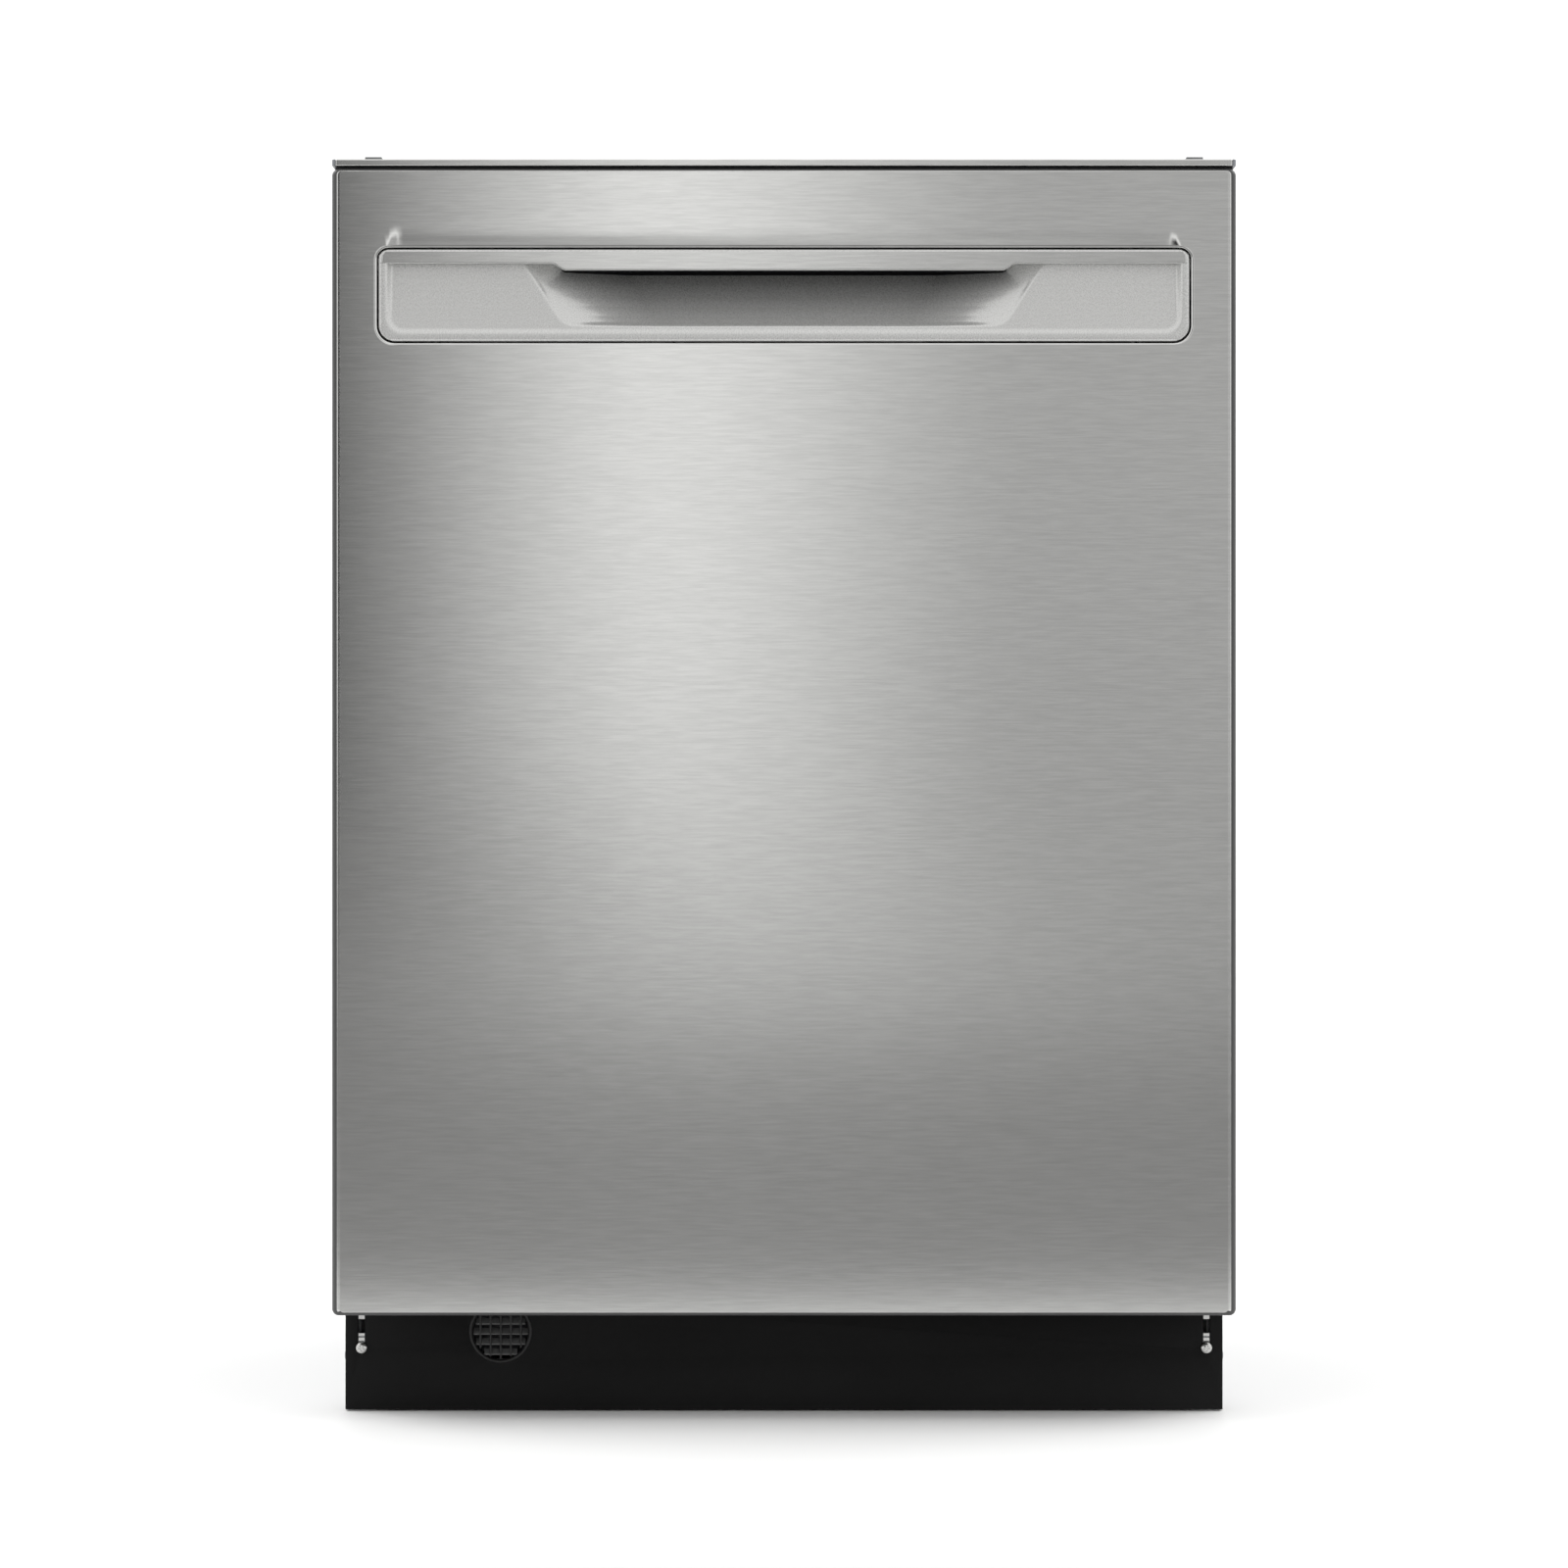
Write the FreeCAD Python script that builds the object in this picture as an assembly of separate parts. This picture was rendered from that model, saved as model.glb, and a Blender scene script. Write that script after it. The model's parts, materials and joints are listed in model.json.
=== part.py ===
"""Built-in dishwasher, 24 inch class, with a pocket handle and hidden top controls.

Millimetres. X runs left to right, the front faces -Y, Z is up. The origin is on the floor
under the middle of the machine. Each function makes the solids of one node.
"""

import FreeCAD
import Part
import math
import os

V = FreeCAD.Vector
os.makedirs("parts", exist_ok=True)

# ---- overall sizes ----
WIDTH = 606.0
DEPTH = 625.0
FRONT = -DEPTH / 2
BACK = DEPTH / 2
SHEET = 1.0

# ---- door ----
DOOR_HALF = WIDTH / 2
PANEL_FRONT = FRONT + 0.5
PANEL_BOTTOM = 71.0
PANEL_TOP = 839.0
EDGE_RADIUS = 3.5
LINER_Y = FRONT + 55.0
PLATEAU_Y = LINER_Y + 10.0
LINER_BOTTOM = 104.0
LINER_TOP = 838.0
PLATEAU_HALF = 258.0
PLATEAU_BOTTOM = 150.0
PLATEAU_TOP = 812.0
HINGE_Y = FRONT + 25.0
HINGE_Z = 91.0
ARM_X = 289.0
LATCH_Y = LINER_Y - 11.0
LATCH_Z = 823.0
LATCH_HALF = 34.0
LATCH_OPENING_HALF = LATCH_HALF + 2.0
DISPENSER_FACE = PLATEAU_Y + 2.5
DISPENSER_Z = (405.0, 535.0)
RINSE_X = 48.0
RINSE_Z = 482.0
DOOR_VENT_X = -170.0
DOOR_VENT_Z = 640.0

# ---- top console ----
TRIM_BOTTOM = 841.2
TRIM_TOP = 845.5
CONSOLE_HALF = 290.0
CONSOLE_BOTTOM = 813.0
WINDOW_HALF = 250.0
BOARD_BOTTOM = 829.0
BOARD_TOP = BOARD_BOTTOM + 1.6
BUTTON_WIDTH = 24.0
BUTTON_DEPTH = 13.0
BUTTON_Y = FRONT + 27.0
BUTTON_TOP = 845.9
BUTTONS = {"power_button": -205.0, "cycle_button": -150.0, "options_button": -110.0,
           "dry_button": 110.0, "start_button": 205.0}

# ---- pocket handle ----
POCKET_HALF = 271.4
POCKET_BOTTOM = 723.6
POCKET_TOP = 784.9
STRIP_BOTTOM = 775.7
LIP_BOTTOM = 771.0
LIP_BACK = FRONT + 9.0
FINGER_BOTTOM = 732.8
FINGER_TOP = 806.0
FINGER_BACK = FRONT + 38.5
FINGER_HALF = 161.0
FINGER_FLOOR_HALF = 138.0
FINGER_NARROWS = 40.0
SCOOP_HALF = 267.0
PANEL_GAP = 1.0
DISH = [(0.0, 18.0), (0.2, 12.0), (0.8, 4.0), (1.0, 0.0)]

# ---- tub ----
TUB_HALF = 286.0
TUB_SHEET = 1.5
TUB_FRONT = FRONT + 60.0
TUB_BACK = 294.0
TUB_FLOOR = 106.0
TUB_CEILING = 826.0
LEDGE_X = 250.0
LEDGE_Z = 123.0
SPRAY_Y = 20.0
FILTER_X = 46.0
FILTER_Y = -16.0
FLOAT_X = -180.0
FLOAT_Y = -170.0
SUMP_RADIUS = 95.0
FILTER_RADIUS = 32.0
HEATER_RADIUS = 180.0
HEATER_SWEEP = 290.0
PUMP_Y = 60.0
PUMP_Z = 66.0
DRAIN_X = -140.0
DRAIN_Y = 30.0
DRAIN_Z = 78.0
VALVE_X = -242.0
VALVE_Z = 66.0
ARM_HALF_WIDTH = 15.0
NOZZLES = (70, 110, 150, 190)

# ---- base ----
TOE_HALF = 298.7
TOE_TOP = 82.0
RAIL_X = 296.5
VENT_X = -193.0
VENT_Z = 54.0
SCREW_X = 287.7
SCREW_Z = 43.0
LEG_X = 272.0
LEG_ROWS = {"front": -212.0, "rear": 282.0}

# ---- racks ----
WIRE = 2.25
TINE = 1.75
LOWER_HALF = 252.0
LOWER_FRONT = -230.0
LOWER_BACK = 262.0
LOWER_FLOOR = 200.0
WHEEL_RADIUS = 19.0
WHEEL_ROWS = {"front": -110.0, "rear": 170.0}
UPPER_HALF = 252.0
UPPER_FRONT = -224.0
UPPER_BACK = 256.0
UPPER_FLOOR = 490.0
TRACK_Z = 565.0
SHELF_X = 236.0
SHELF_Z = 566.0
SHELF_WIDTH = 88.0
SHELF_HALF_LENGTH = 150.0
BASKET_HALF = 200.0
BASKET_FRONT = -218.0
BASKET_BACK = -152.0
BASKET_BOTTOM = 208.0
BASKET_TOP = 330.0


# ---- helpers ----
def box(x0, x1, y0, y1, z0, z1):
    return Part.makeBox(x1 - x0, y1 - y0, z1 - z0, V(x0, y0, z0))


def rod(start, end, radius):
    """A round bar between two points."""
    a, b = V(*start), V(*end)
    return Part.makeCylinder(radius, (b - a).Length, a, b - a)


def disc(x, y, z0, z1, radius):
    return Part.makeCylinder(radius, z1 - z0, V(x, y, z0), V(0, 0, 1))


def prism_x(outline, x0, x1):
    """A (y, z) outline extruded along X."""
    points = [V(x0, y, z) for y, z in outline]
    return Part.Face(Part.makePolygon(points + points[:1])).extrude(V(x1 - x0, 0, 0))


def prism_y(outline, y0, y1):
    """An (x, z) outline extruded along Y."""
    points = [V(x, y0, z) for x, z in outline]
    return Part.Face(Part.makePolygon(points + points[:1])).extrude(V(0, y1 - y0, 0))


def prism_z(outline, z0, z1):
    """An (x, y) outline extruded along Z."""
    points = [V(x, y, z0) for x, y in outline]
    return Part.Face(Part.makePolygon(points + points[:1])).extrude(V(0, 0, z1 - z0))


def mirrored(shape):
    return shape.mirror(V(0, 0, 0), V(1, 0, 0))


def fuse(first, *others):
    return first.multiFuse(list(others)).removeSplitter() if others else first


def fillet(shape, radius, wanted):
    """Rounds the edges whose two end points pass the test."""
    edges = [e for e in shape.Edges if all(wanted(v.Point) for v in e.Vertexes)]
    return shape.makeFillet(radius, edges)


def spread(low, high, count):
    """Evenly spaced places from low to high."""
    return [low + (high - low) * i / (count - 1) for i in range(count)]


def rounded_plate(half, z0, z1, y0, y1, top_radius, bottom_radius):
    """An upright plate with rounded corners."""
    plate = box(-half, half, y0, y1, z0, z1)
    middle = (z0 + z1) / 2
    along_y = [e for e in plate.Edges if abs(e.tangentAt(e.FirstParameter).y) > 0.9]
    top = [e for e in along_y if e.CenterOfMass.z > middle]
    plate = plate.makeFillet(top_radius, top)
    along_y = [e for e in plate.Edges if e.Curve.TypeId == "Part::GeomLine"
               and abs(e.tangentAt(e.FirstParameter).y) > 0.9 and e.CenterOfMass.z < z0 + 1]
    return plate.makeFillet(bottom_radius, along_y)


def save(name, *shapes):
    solids = [s for shape in shapes for s in shape.Solids]
    for solid in solids:
        if solid.Volume <= 0 or not solid.isValid():
            raise ValueError(name + " has a bad solid")
    Part.makeCompound(solids).exportStep("parts/" + name + ".step")


# ---- door skins ----
def door_outer_panel():
    """Folded stainless skin: side, top and bottom flanges, the pocket's cut-out and the dish above it."""
    flange_back = PANEL_FRONT + 38
    skin = box(-DOOR_HALF, DOOR_HALF, PANEL_FRONT, flange_back, PANEL_BOTTOM, PANEL_TOP)
    skin = fillet(skin, EDGE_RADIUS, lambda p: p.y < PANEL_FRONT + 1 and abs(p.x) > DOOR_HALF - 1)
    inside = box(-DOOR_HALF + SHEET, DOOR_HALF - SHEET, PANEL_FRONT + SHEET, flange_back,
                 PANEL_BOTTOM + SHEET, PANEL_TOP - SHEET)
    inside = fillet(inside, EDGE_RADIUS - SHEET,
                    lambda p: p.y < PANEL_FRONT + SHEET + 1 and abs(p.x) > DOOR_HALF - SHEET - 1)
    skin = skin.cut(inside)
    inner_half = DOOR_HALF - SHEET
    skin = skin.cut(box(-inner_half, inner_half, PANEL_FRONT + 14, flange_back,
                        PANEL_BOTTOM, PANEL_BOTTOM + 2))
    skin = skin.cut(box(-inner_half, inner_half, PANEL_FRONT + 6.5, flange_back, PANEL_TOP - 2, PANEL_TOP))
    cut_out = rounded_plate(POCKET_HALF + PANEL_GAP, POCKET_BOTTOM - PANEL_GAP, POCKET_TOP + PANEL_GAP,
                            FRONT - 1, PANEL_FRONT + 5, 7.5, 11.5)
    edge = POCKET_TOP + PANEL_GAP
    dish_top = edge + DISH[0][1]
    front_line = [(PANEL_FRONT + depth, edge + height) for depth, height in DISH]
    back_line = [(y + SHEET, z) for y, z in reversed(front_line)]
    dish_half = POCKET_HALF - 8
    scoop = prism_x(front_line + [(FRONT - 2, edge), (FRONT - 2, dish_top)], -dish_half, dish_half)
    sheet = prism_x(front_line + back_line, -dish_half, dish_half)
    cheek = prism_x(front_line + [(PANEL_FRONT, edge)], dish_half - SHEET, dish_half)
    behind = box(-dish_half, dish_half, PANEL_FRONT - 1, PANEL_FRONT + SHEET, edge - 0.5, dish_top)
    return fuse(skin.cut(cut_out).cut(behind).cut(scoop), sheet, cheek, mirrored(cheek))


def finger_end_wall(front, wall, slope_start, slope_bend, rear_z):
    """End wall of the finger pocket, which closes in towards the back and stands on its sloping floor."""
    inner = FINGER_HALF - FINGER_NARROWS
    closing = FINGER_NARROWS / (FINGER_BACK - front)
    bend_half = inner + closing * (FINGER_BACK - slope_bend[0])
    outer = 2.2 * wall
    start = [(FINGER_HALF, front), (FINGER_HALF + wall, front), (FINGER_HALF + wall, front + 1)]
    lower = prism_z(start + [(bend_half + outer, slope_bend[0]), (bend_half, slope_bend[0])],
                    slope_start[1], rear_z)
    upper = prism_z(start + [(inner + outer, FINGER_BACK), (inner, FINGER_BACK)], rear_z, FINGER_TOP)
    below_floor = prism_x([(front - 1, slope_start[1] + wall), (slope_start[0], slope_start[1] + wall),
                           (slope_bend[0], slope_bend[1] + wall), (slope_bend[0] + 1, slope_bend[1] + wall),
                           (slope_bend[0] + 1, FINGER_BOTTOM - 1), (front - 1, FINGER_BOTTOM - 1)],
                          0, FINGER_HALF + 2 * outer)
    return fuse(lower.cut(below_floor), upper)


def handle_pocket():
    """Silver insert: a wide shallow scoop, and a finger pocket that rises behind the strip's lip."""
    back = FRONT + 14
    plate = rounded_plate(POCKET_HALF, POCKET_BOTTOM, POCKET_TOP, FRONT, back, 6.5, 10.5)
    scoop = prism_x([(FRONT - 1, STRIP_BOTTOM), (FRONT + 5, STRIP_BOTTOM), (FRONT + 4.4, 758),
                     (FRONT + 2.8, 741), (FRONT + 0.8, 728), (FRONT - 1, 728)], -SCOOP_HALF, SCOOP_HALF)
    slant = [(FINGER_FLOOR_HALF, FINGER_BOTTOM), (FINGER_FLOOR_HALF + 9, FINGER_BOTTOM + 5.2),
             (FINGER_HALF, STRIP_BOTTOM)]
    window = prism_y(slant + [(-x, z) for x, z in reversed(slant)], FRONT - 1, back + 1)
    rise = box(-FINGER_HALF, FINGER_HALF, LIP_BACK, back + 1, STRIP_BOTTOM - 1, POCKET_TOP + 1)
    plate = plate.cut(scoop).cut(window).cut(rise)
    lip = box(-FINGER_HALF, FINGER_HALF, FRONT, LIP_BACK, LIP_BOTTOM, STRIP_BOTTOM).cut(plate)
    wall = 2
    half = FINGER_HALF + wall
    roof = FINGER_TOP + 2.5
    slope_start = (back, FINGER_BOTTOM + 3)
    slope_bend = (FINGER_BACK - 6, FINGER_BOTTOM + 11.2)
    slope_end = (FINGER_BACK, 762)
    side = finger_end_wall(back, wall, slope_start, slope_bend, slope_end[1])
    front_wall = box(-half, half, LIP_BACK - wall, LIP_BACK, POCKET_TOP, roof)
    ceiling = box(-FINGER_HALF, FINGER_HALF, LIP_BACK, FINGER_BACK, FINGER_TOP, roof)
    rear_wall = box(-half, half, FINGER_BACK, FINGER_BACK + wall, slope_end[1], roof)
    floor = prism_x([slope_start, (slope_start[0], slope_start[1] + wall),
                     (slope_bend[0], slope_bend[1] + wall), slope_bend], -half, half)
    rear_slope = prism_x([slope_bend, (slope_bend[0], slope_bend[1] + wall), slope_end,
                          (slope_end[0] + wall, slope_end[1])], -FINGER_HALF, FINGER_HALF)
    return [plate, lip, side, mirrored(side), front_wall, ceiling, rear_wall, floor, rear_slope]


def door_liner():
    """Inner door skin: a pan with a raised middle that enters the tub mouth."""
    half = DOOR_HALF - 2.0
    front = LINER_Y - 16
    outer = fuse(box(-half, half, front, LINER_Y, LINER_BOTTOM, LINER_TOP),
                 box(-PLATEAU_HALF, PLATEAU_HALF, LINER_Y - 1, PLATEAU_Y, PLATEAU_BOTTOM, PLATEAU_TOP))
    inner = fuse(box(-half + SHEET, half - SHEET, front - 1, LINER_Y - SHEET,
                     LINER_BOTTOM + SHEET, LINER_TOP - SHEET),
                 box(-PLATEAU_HALF + SHEET, PLATEAU_HALF - SHEET, LINER_Y - 3, PLATEAU_Y - SHEET,
                     PLATEAU_BOTTOM + SHEET, PLATEAU_TOP - SHEET))
    holes = [box(-93, 93, LINER_Y, PLATEAU_Y + 1, DISPENSER_Z[0] + 7, DISPENSER_Z[1] - 7),
             rod((DOOR_VENT_X, LINER_Y, DOOR_VENT_Z), (DOOR_VENT_X, PLATEAU_Y + 1, DOOR_VENT_Z), 30),
             box(-LATCH_OPENING_HALF, LATCH_OPENING_HALF, front - 1, LINER_Y + 1, 815, LINER_TOP + 1)]
    return outer.cut(inner).cut(Part.makeCompound(holes))


def door_insulation():
    return box(-282, 282, PANEL_FRONT + 4, LINER_Y - 20, 120, 716)


# ---- top console ----
def console_trim():
    """Brushed strip that caps the door's top edge, with the window that the console fills."""
    corner = DOOR_HALF - EDGE_RADIUS
    front = PANEL_FRONT + EDGE_RADIUS
    trim = fuse(box(-DOOR_HALF, DOOR_HALF, front, LINER_Y - 1, TRIM_BOTTOM, TRIM_TOP),
                box(-corner, corner, PANEL_FRONT, front, TRIM_BOTTOM, TRIM_TOP),
                disc(corner, front, TRIM_BOTTOM, TRIM_TOP, EDGE_RADIUS),
                disc(-corner, front, TRIM_BOTTOM, TRIM_TOP, EDGE_RADIUS))
    return trim.cut(box(-WINDOW_HALF, WINDOW_HALF, FRONT + 12, LINER_Y - 10, TRIM_BOTTOM - 1, TRIM_TOP + 1))


def control_console():
    """Plastic console: a top deck with a hole for each button, over a tray with posts for the board."""
    tray_front = FRONT + 8
    tray_back = LINER_Y - 16.8
    under = TRIM_BOTTOM - 0.5
    half = CONSOLE_HALF
    deck = box(-WINDOW_HALF + 0.5, WINDOW_HALF - 0.5, FRONT + 12.5, LINER_Y - 10.5, under, TRIM_TOP - 0.3)
    tray = box(-half, half, tray_front, tray_back, CONSOLE_BOTTOM, under)
    tray = tray.cut(box(-half + 3, half - 3, tray_front + 2, tray_back - 2, CONSOLE_BOTTOM + 2, under))
    rim = box(-half, half, tray_front, tray_front + 5, under - 2, under)
    back_rim = box(-half, half, tray_back - 2, LINER_Y - 4.5, under - 2, under)
    posts = [box(x - 4, x + 4, FRONT + 20, FRONT + 32, CONSOLE_BOTTOM + 1, BOARD_BOTTOM)
             for x in (-225, -75, 75, 225)]
    body = fuse(deck, tray, rim, back_rim, *posts)
    body = body.cut(box(-LATCH_OPENING_HALF, LATCH_OPENING_HALF, LINER_Y - 17.6, LINER_Y,
                        CONSOLE_BOTTOM - 1, under))
    gap = 0.4
    for x in BUTTONS.values():
        body = body.cut(box(x - BUTTON_WIDTH / 2 - gap, x + BUTTON_WIDTH / 2 + gap,
                            BUTTON_Y - BUTTON_DEPTH / 2 - gap, BUTTON_Y + BUTTON_DEPTH / 2 + gap,
                            BOARD_TOP + 1.4, TRIM_TOP + 4.5))
    return body


def button(x):
    cap = box(x - BUTTON_WIDTH / 2, x + BUTTON_WIDTH / 2, BUTTON_Y - BUTTON_DEPTH / 2,
              BUTTON_Y + BUTTON_DEPTH / 2, BUTTON_TOP - 4, BUTTON_TOP)
    cap = fillet(cap, 1.0, lambda p: p.z > BUTTON_TOP - 0.1)
    return fuse(cap, disc(x, BUTTON_Y, BUTTON_TOP - 9, BUTTON_TOP - 3.5, 2.5))


def control_board():
    board = box(-240, 240, FRONT + 15, FRONT + 35, BOARD_BOTTOM, BOARD_TOP)
    switches = [box(x - 3, x + 3, BUTTON_Y - 3, BUTTON_Y + 3, BOARD_TOP, BOARD_TOP + 4)
                for x in BUTTONS.values()]
    return fuse(board, *switches)


def latch_housing():
    """Catch in the middle of the door's top edge, open to the back and top for the strike."""
    body = box(-LATCH_HALF, LATCH_HALF, LINER_Y - 17, LINER_Y, 815.5, 837.6)
    body = body.cut(box(-13, 13, LINER_Y - 14.5, LINER_Y + 1, 818, 839))
    return body.cut(rod((-20, LATCH_Y, LATCH_Z), (20, LATCH_Y, LATCH_Z), 2.05))


def latch_hook():
    """Pawl on a cross pin: turned up, its nose stands behind the strike's tooth."""
    pin = rod((-19, LATCH_Y, LATCH_Z), (19, LATCH_Y, LATCH_Z), 2.0)
    arm = box(-11, 11, LATCH_Y - 1.5, LATCH_Y + 9.8, LATCH_Z - 1.5, LATCH_Z + 1.5)
    nose = box(-11, 11, LATCH_Y + 7.5, LATCH_Y + 9.8, LATCH_Z - 1.5, LATCH_Z + 3.5)
    return fuse(pin, arm, nose)


def latch_strike():
    """Striker fixed to the tub's front flange, reaching forward under the trim."""
    plate = box(-11, 11, LINER_Y - 9, TUB_FRONT - 1.5, 838.2, 840.6)
    tooth = box(-11, 11, LINER_Y - 9, LINER_Y - 7, 828, 839)
    riser = box(-15, 15, TUB_FRONT - 2.7, TUB_FRONT - 1.5, 834, 842)
    return fuse(plate, tooth, riser)


# ---- dispenser and vent on the liner ----
def dispenser_body():
    bottom, top = DISPENSER_Z
    flange = box(-100, 100, PLATEAU_Y, DISPENSER_FACE, bottom, top)
    tank = box(-92, 92, PLATEAU_Y - 29, PLATEAU_Y + 0.5, bottom + 8, top - 8)
    cup = box(-72, -4, PLATEAU_Y - 24, DISPENSER_FACE + 1, 452, 512)
    well = rod((RINSE_X, DISPENSER_FACE - 7, RINSE_Z), (RINSE_X, DISPENSER_FACE + 1, RINSE_Z), 17.4)
    return fuse(flange, tank).cut(cup).cut(well)


def dispenser_lid():
    cover = box(-77, 1, DISPENSER_FACE + 0.4, DISPENSER_FACE + 3.4, 447, 517)
    grip = box(-52, -24, DISPENSER_FACE + 3, DISPENSER_FACE + 7, 452, 458)
    return fuse(cover, grip)


def rinse_aid_cap():
    cap = rod((RINSE_X, DISPENSER_FACE - 6.6, RINSE_Z), (RINSE_X, DISPENSER_FACE + 2, RINSE_Z), 17.0)
    grip = box(RINSE_X - 14, RINSE_X + 14, DISPENSER_FACE + 1.5, DISPENSER_FACE + 6,
               RINSE_Z - 2.5, RINSE_Z + 2.5)
    return fuse(cap, grip)


def door_vent_grille():
    x, z = DOOR_VENT_X, DOOR_VENT_Z
    rim = rod((x, PLATEAU_Y, z), (x, PLATEAU_Y + 4, z), 36)
    neck = rod((x, PLATEAU_Y - 9, z), (x, PLATEAU_Y + 1, z), 29.5)
    body = fuse(rim, neck)
    slots = [box(x - 26, x + 26, PLATEAU_Y - 10, PLATEAU_Y + 5, z + step - 2, z + step + 2)
             for step in (-16, -8, 0, 8, 16)]
    keep = rod((x, PLATEAU_Y - 10, z), (x, PLATEAU_Y + 5, z), 26)
    return body.cut(Part.makeCompound(slots).common(keep))


# ---- hinges ----
def hinge_arms():
    """Steel strap on each side of the door, drilled for the pivot pin."""
    strap = box(ARM_X, ARM_X + 3, HINGE_Y - 10, HINGE_Y + 10, HINGE_Z, HINGE_Z + 210)
    eye = rod((ARM_X, HINGE_Y, HINGE_Z), (ARM_X + 3, HINGE_Y, HINGE_Z), 10)
    foot = box(ARM_X, DOOR_HALF - SHEET - 0.1, HINGE_Y - 3, HINGE_Y - 1, HINGE_Z + 60, HINGE_Z + 200)
    arm = fuse(strap, eye, foot).cut(rod((ARM_X - 1, HINGE_Y, HINGE_Z), (ARM_X + 4, HINGE_Y, HINGE_Z), 4.05))
    return [arm, mirrored(arm)]


def hinge_brackets():
    """Fixed tongue on each side of the base that carries the pivot pin."""
    tongue = box(ARM_X - 7, ARM_X - 1, HINGE_Y, TUB_FRONT + 30, HINGE_Z - 6, HINGE_Z + 6)
    nose = rod((ARM_X - 7, HINGE_Y, HINGE_Z), (ARM_X - 1, HINGE_Y, HINGE_Z), 6)
    pin = rod((ARM_X - 2, HINGE_Y, HINGE_Z), (ARM_X + 4.5, HINGE_Y, HINGE_Z), 4.0)
    root = box(ARM_X - 7, RAIL_X - 2, TUB_FRONT + 6, TUB_FRONT + 30, HINGE_Z - 12, HINGE_Z + 12)
    bracket = fuse(tongue, nose, pin, root)
    return [bracket, mirrored(bracket)]


def hinge_springs():
    """Closed-coil balance spring with an end hook each side, along the base rails."""
    x, z = 283, 60
    coil_front, coil_back = -150, 40
    coil = rod((x, coil_front, z), (x, coil_back, z), 8.0)
    lead = rod((x, coil_front - 65, z + 16), (x, coil_front, z), 1.5)
    tail = rod((x, coil_back, z), (x, coil_back + 30, z), 1.5)
    spring = fuse(coil, lead, tail)
    return [spring, mirrored(spring)]


# ---- tub ----
def wash_tub():
    """Stainless tub: sides, ceiling, back, and a floor pan with a rolling ledge along each side."""
    t = TUB_SHEET
    half = TUB_HALF + t
    side = box(TUB_HALF, half, TUB_FRONT, TUB_BACK, LEDGE_Z, TUB_CEILING)
    ceiling = box(-half, half, TUB_FRONT, TUB_BACK, TUB_CEILING, TUB_CEILING + t)
    back = box(-half, half, TUB_BACK, TUB_BACK + t, TUB_FLOOR - t, TUB_CEILING + t)
    ledge = box(LEDGE_X, RAIL_X, TUB_FRONT, TUB_BACK, LEDGE_Z - t, LEDGE_Z)
    slope = prism_y([(LEDGE_X, LEDGE_Z), (LEDGE_X, LEDGE_Z - t), (LEDGE_X - 6, TUB_FLOOR - t),
                     (LEDGE_X - 6, TUB_FLOOR)], TUB_FRONT, TUB_BACK)
    floor = box(-LEDGE_X + 6, LEDGE_X - 6, TUB_FRONT, TUB_BACK, TUB_FLOOR - t, TUB_FLOOR)
    floor = floor.cut(disc(0, SPRAY_Y, 90, 130, SUMP_RADIUS + 0.3)).cut(disc(FLOAT_X, FLOAT_Y, 90, 130, 5))
    return [side, mirrored(side), ceiling, back, ledge, mirrored(ledge), slope, mirrored(slope), floor]


def tub_front_flange():
    """Flat face around the tub's mouth that the gasket seals on."""
    y0, y1 = TUB_FRONT - 1.5, TUB_FRONT
    half = TUB_HALF + 0.5
    side = box(half, 297, y0, y1, 112, 843)
    head = box(-half, half, y0, y1, TUB_CEILING + 0.5, 843)
    sill = box(-LEDGE_X, LEDGE_X, y0, y1, 98, TUB_FLOOR - 0.5)
    ledge = box(LEDGE_X, half, y0, y1, 98, LEDGE_Z - 0.5)
    return [side, mirrored(side), head, sill, ledge, mirrored(ledge)]


def tub_gasket():
    y0, y1 = LINER_Y + 0.4, TUB_FRONT - 1.5
    side = box(287.5, 296, y0, y1, 114, 828)
    return [side, mirrored(side), box(-296, -17, y0, y1, 828, 836.5), box(17, 296, y0, y1, 828, 836.5)]


def sound_blanket():
    """Felt on the tub's sides, top and back, and a strip behind the toe kick."""
    inner = TUB_HALF + TUB_SHEET + 0.3
    side = box(inner, 296, TUB_FRONT + 3, 290, LEDGE_Z + 3, TUB_CEILING)
    top = box(-286, 286, TUB_FRONT + 22, 290, TUB_CEILING + 1.8, TUB_CEILING + 11)
    back = box(-280, 280, TUB_BACK + 1.8, TUB_BACK + 10, 160, TUB_CEILING)
    toe = box(-256, 256, TUB_FRONT + 11.5, TUB_FRONT + 16.5, 36, 94)
    return [side, mirrored(side), top, back, toe]


def mounting_brackets():
    """Tab each side that screws up into the underside of the worktop."""
    x0, x1, top, sheet = 274, 285.4, 854, 1.5
    front = TUB_FRONT + 0.2
    leg = box(x0, x1, front, front + sheet, TUB_CEILING + 1.8, top)
    tab = box(x0, x1, front, TUB_FRONT + 20, top - sheet, top)
    bracket = fuse(leg, tab).cut(disc((x0 + x1) / 2, TUB_FRONT + 12, top - 4, top + 2, 2.2))
    return [bracket, mirrored(bracket)]


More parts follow.
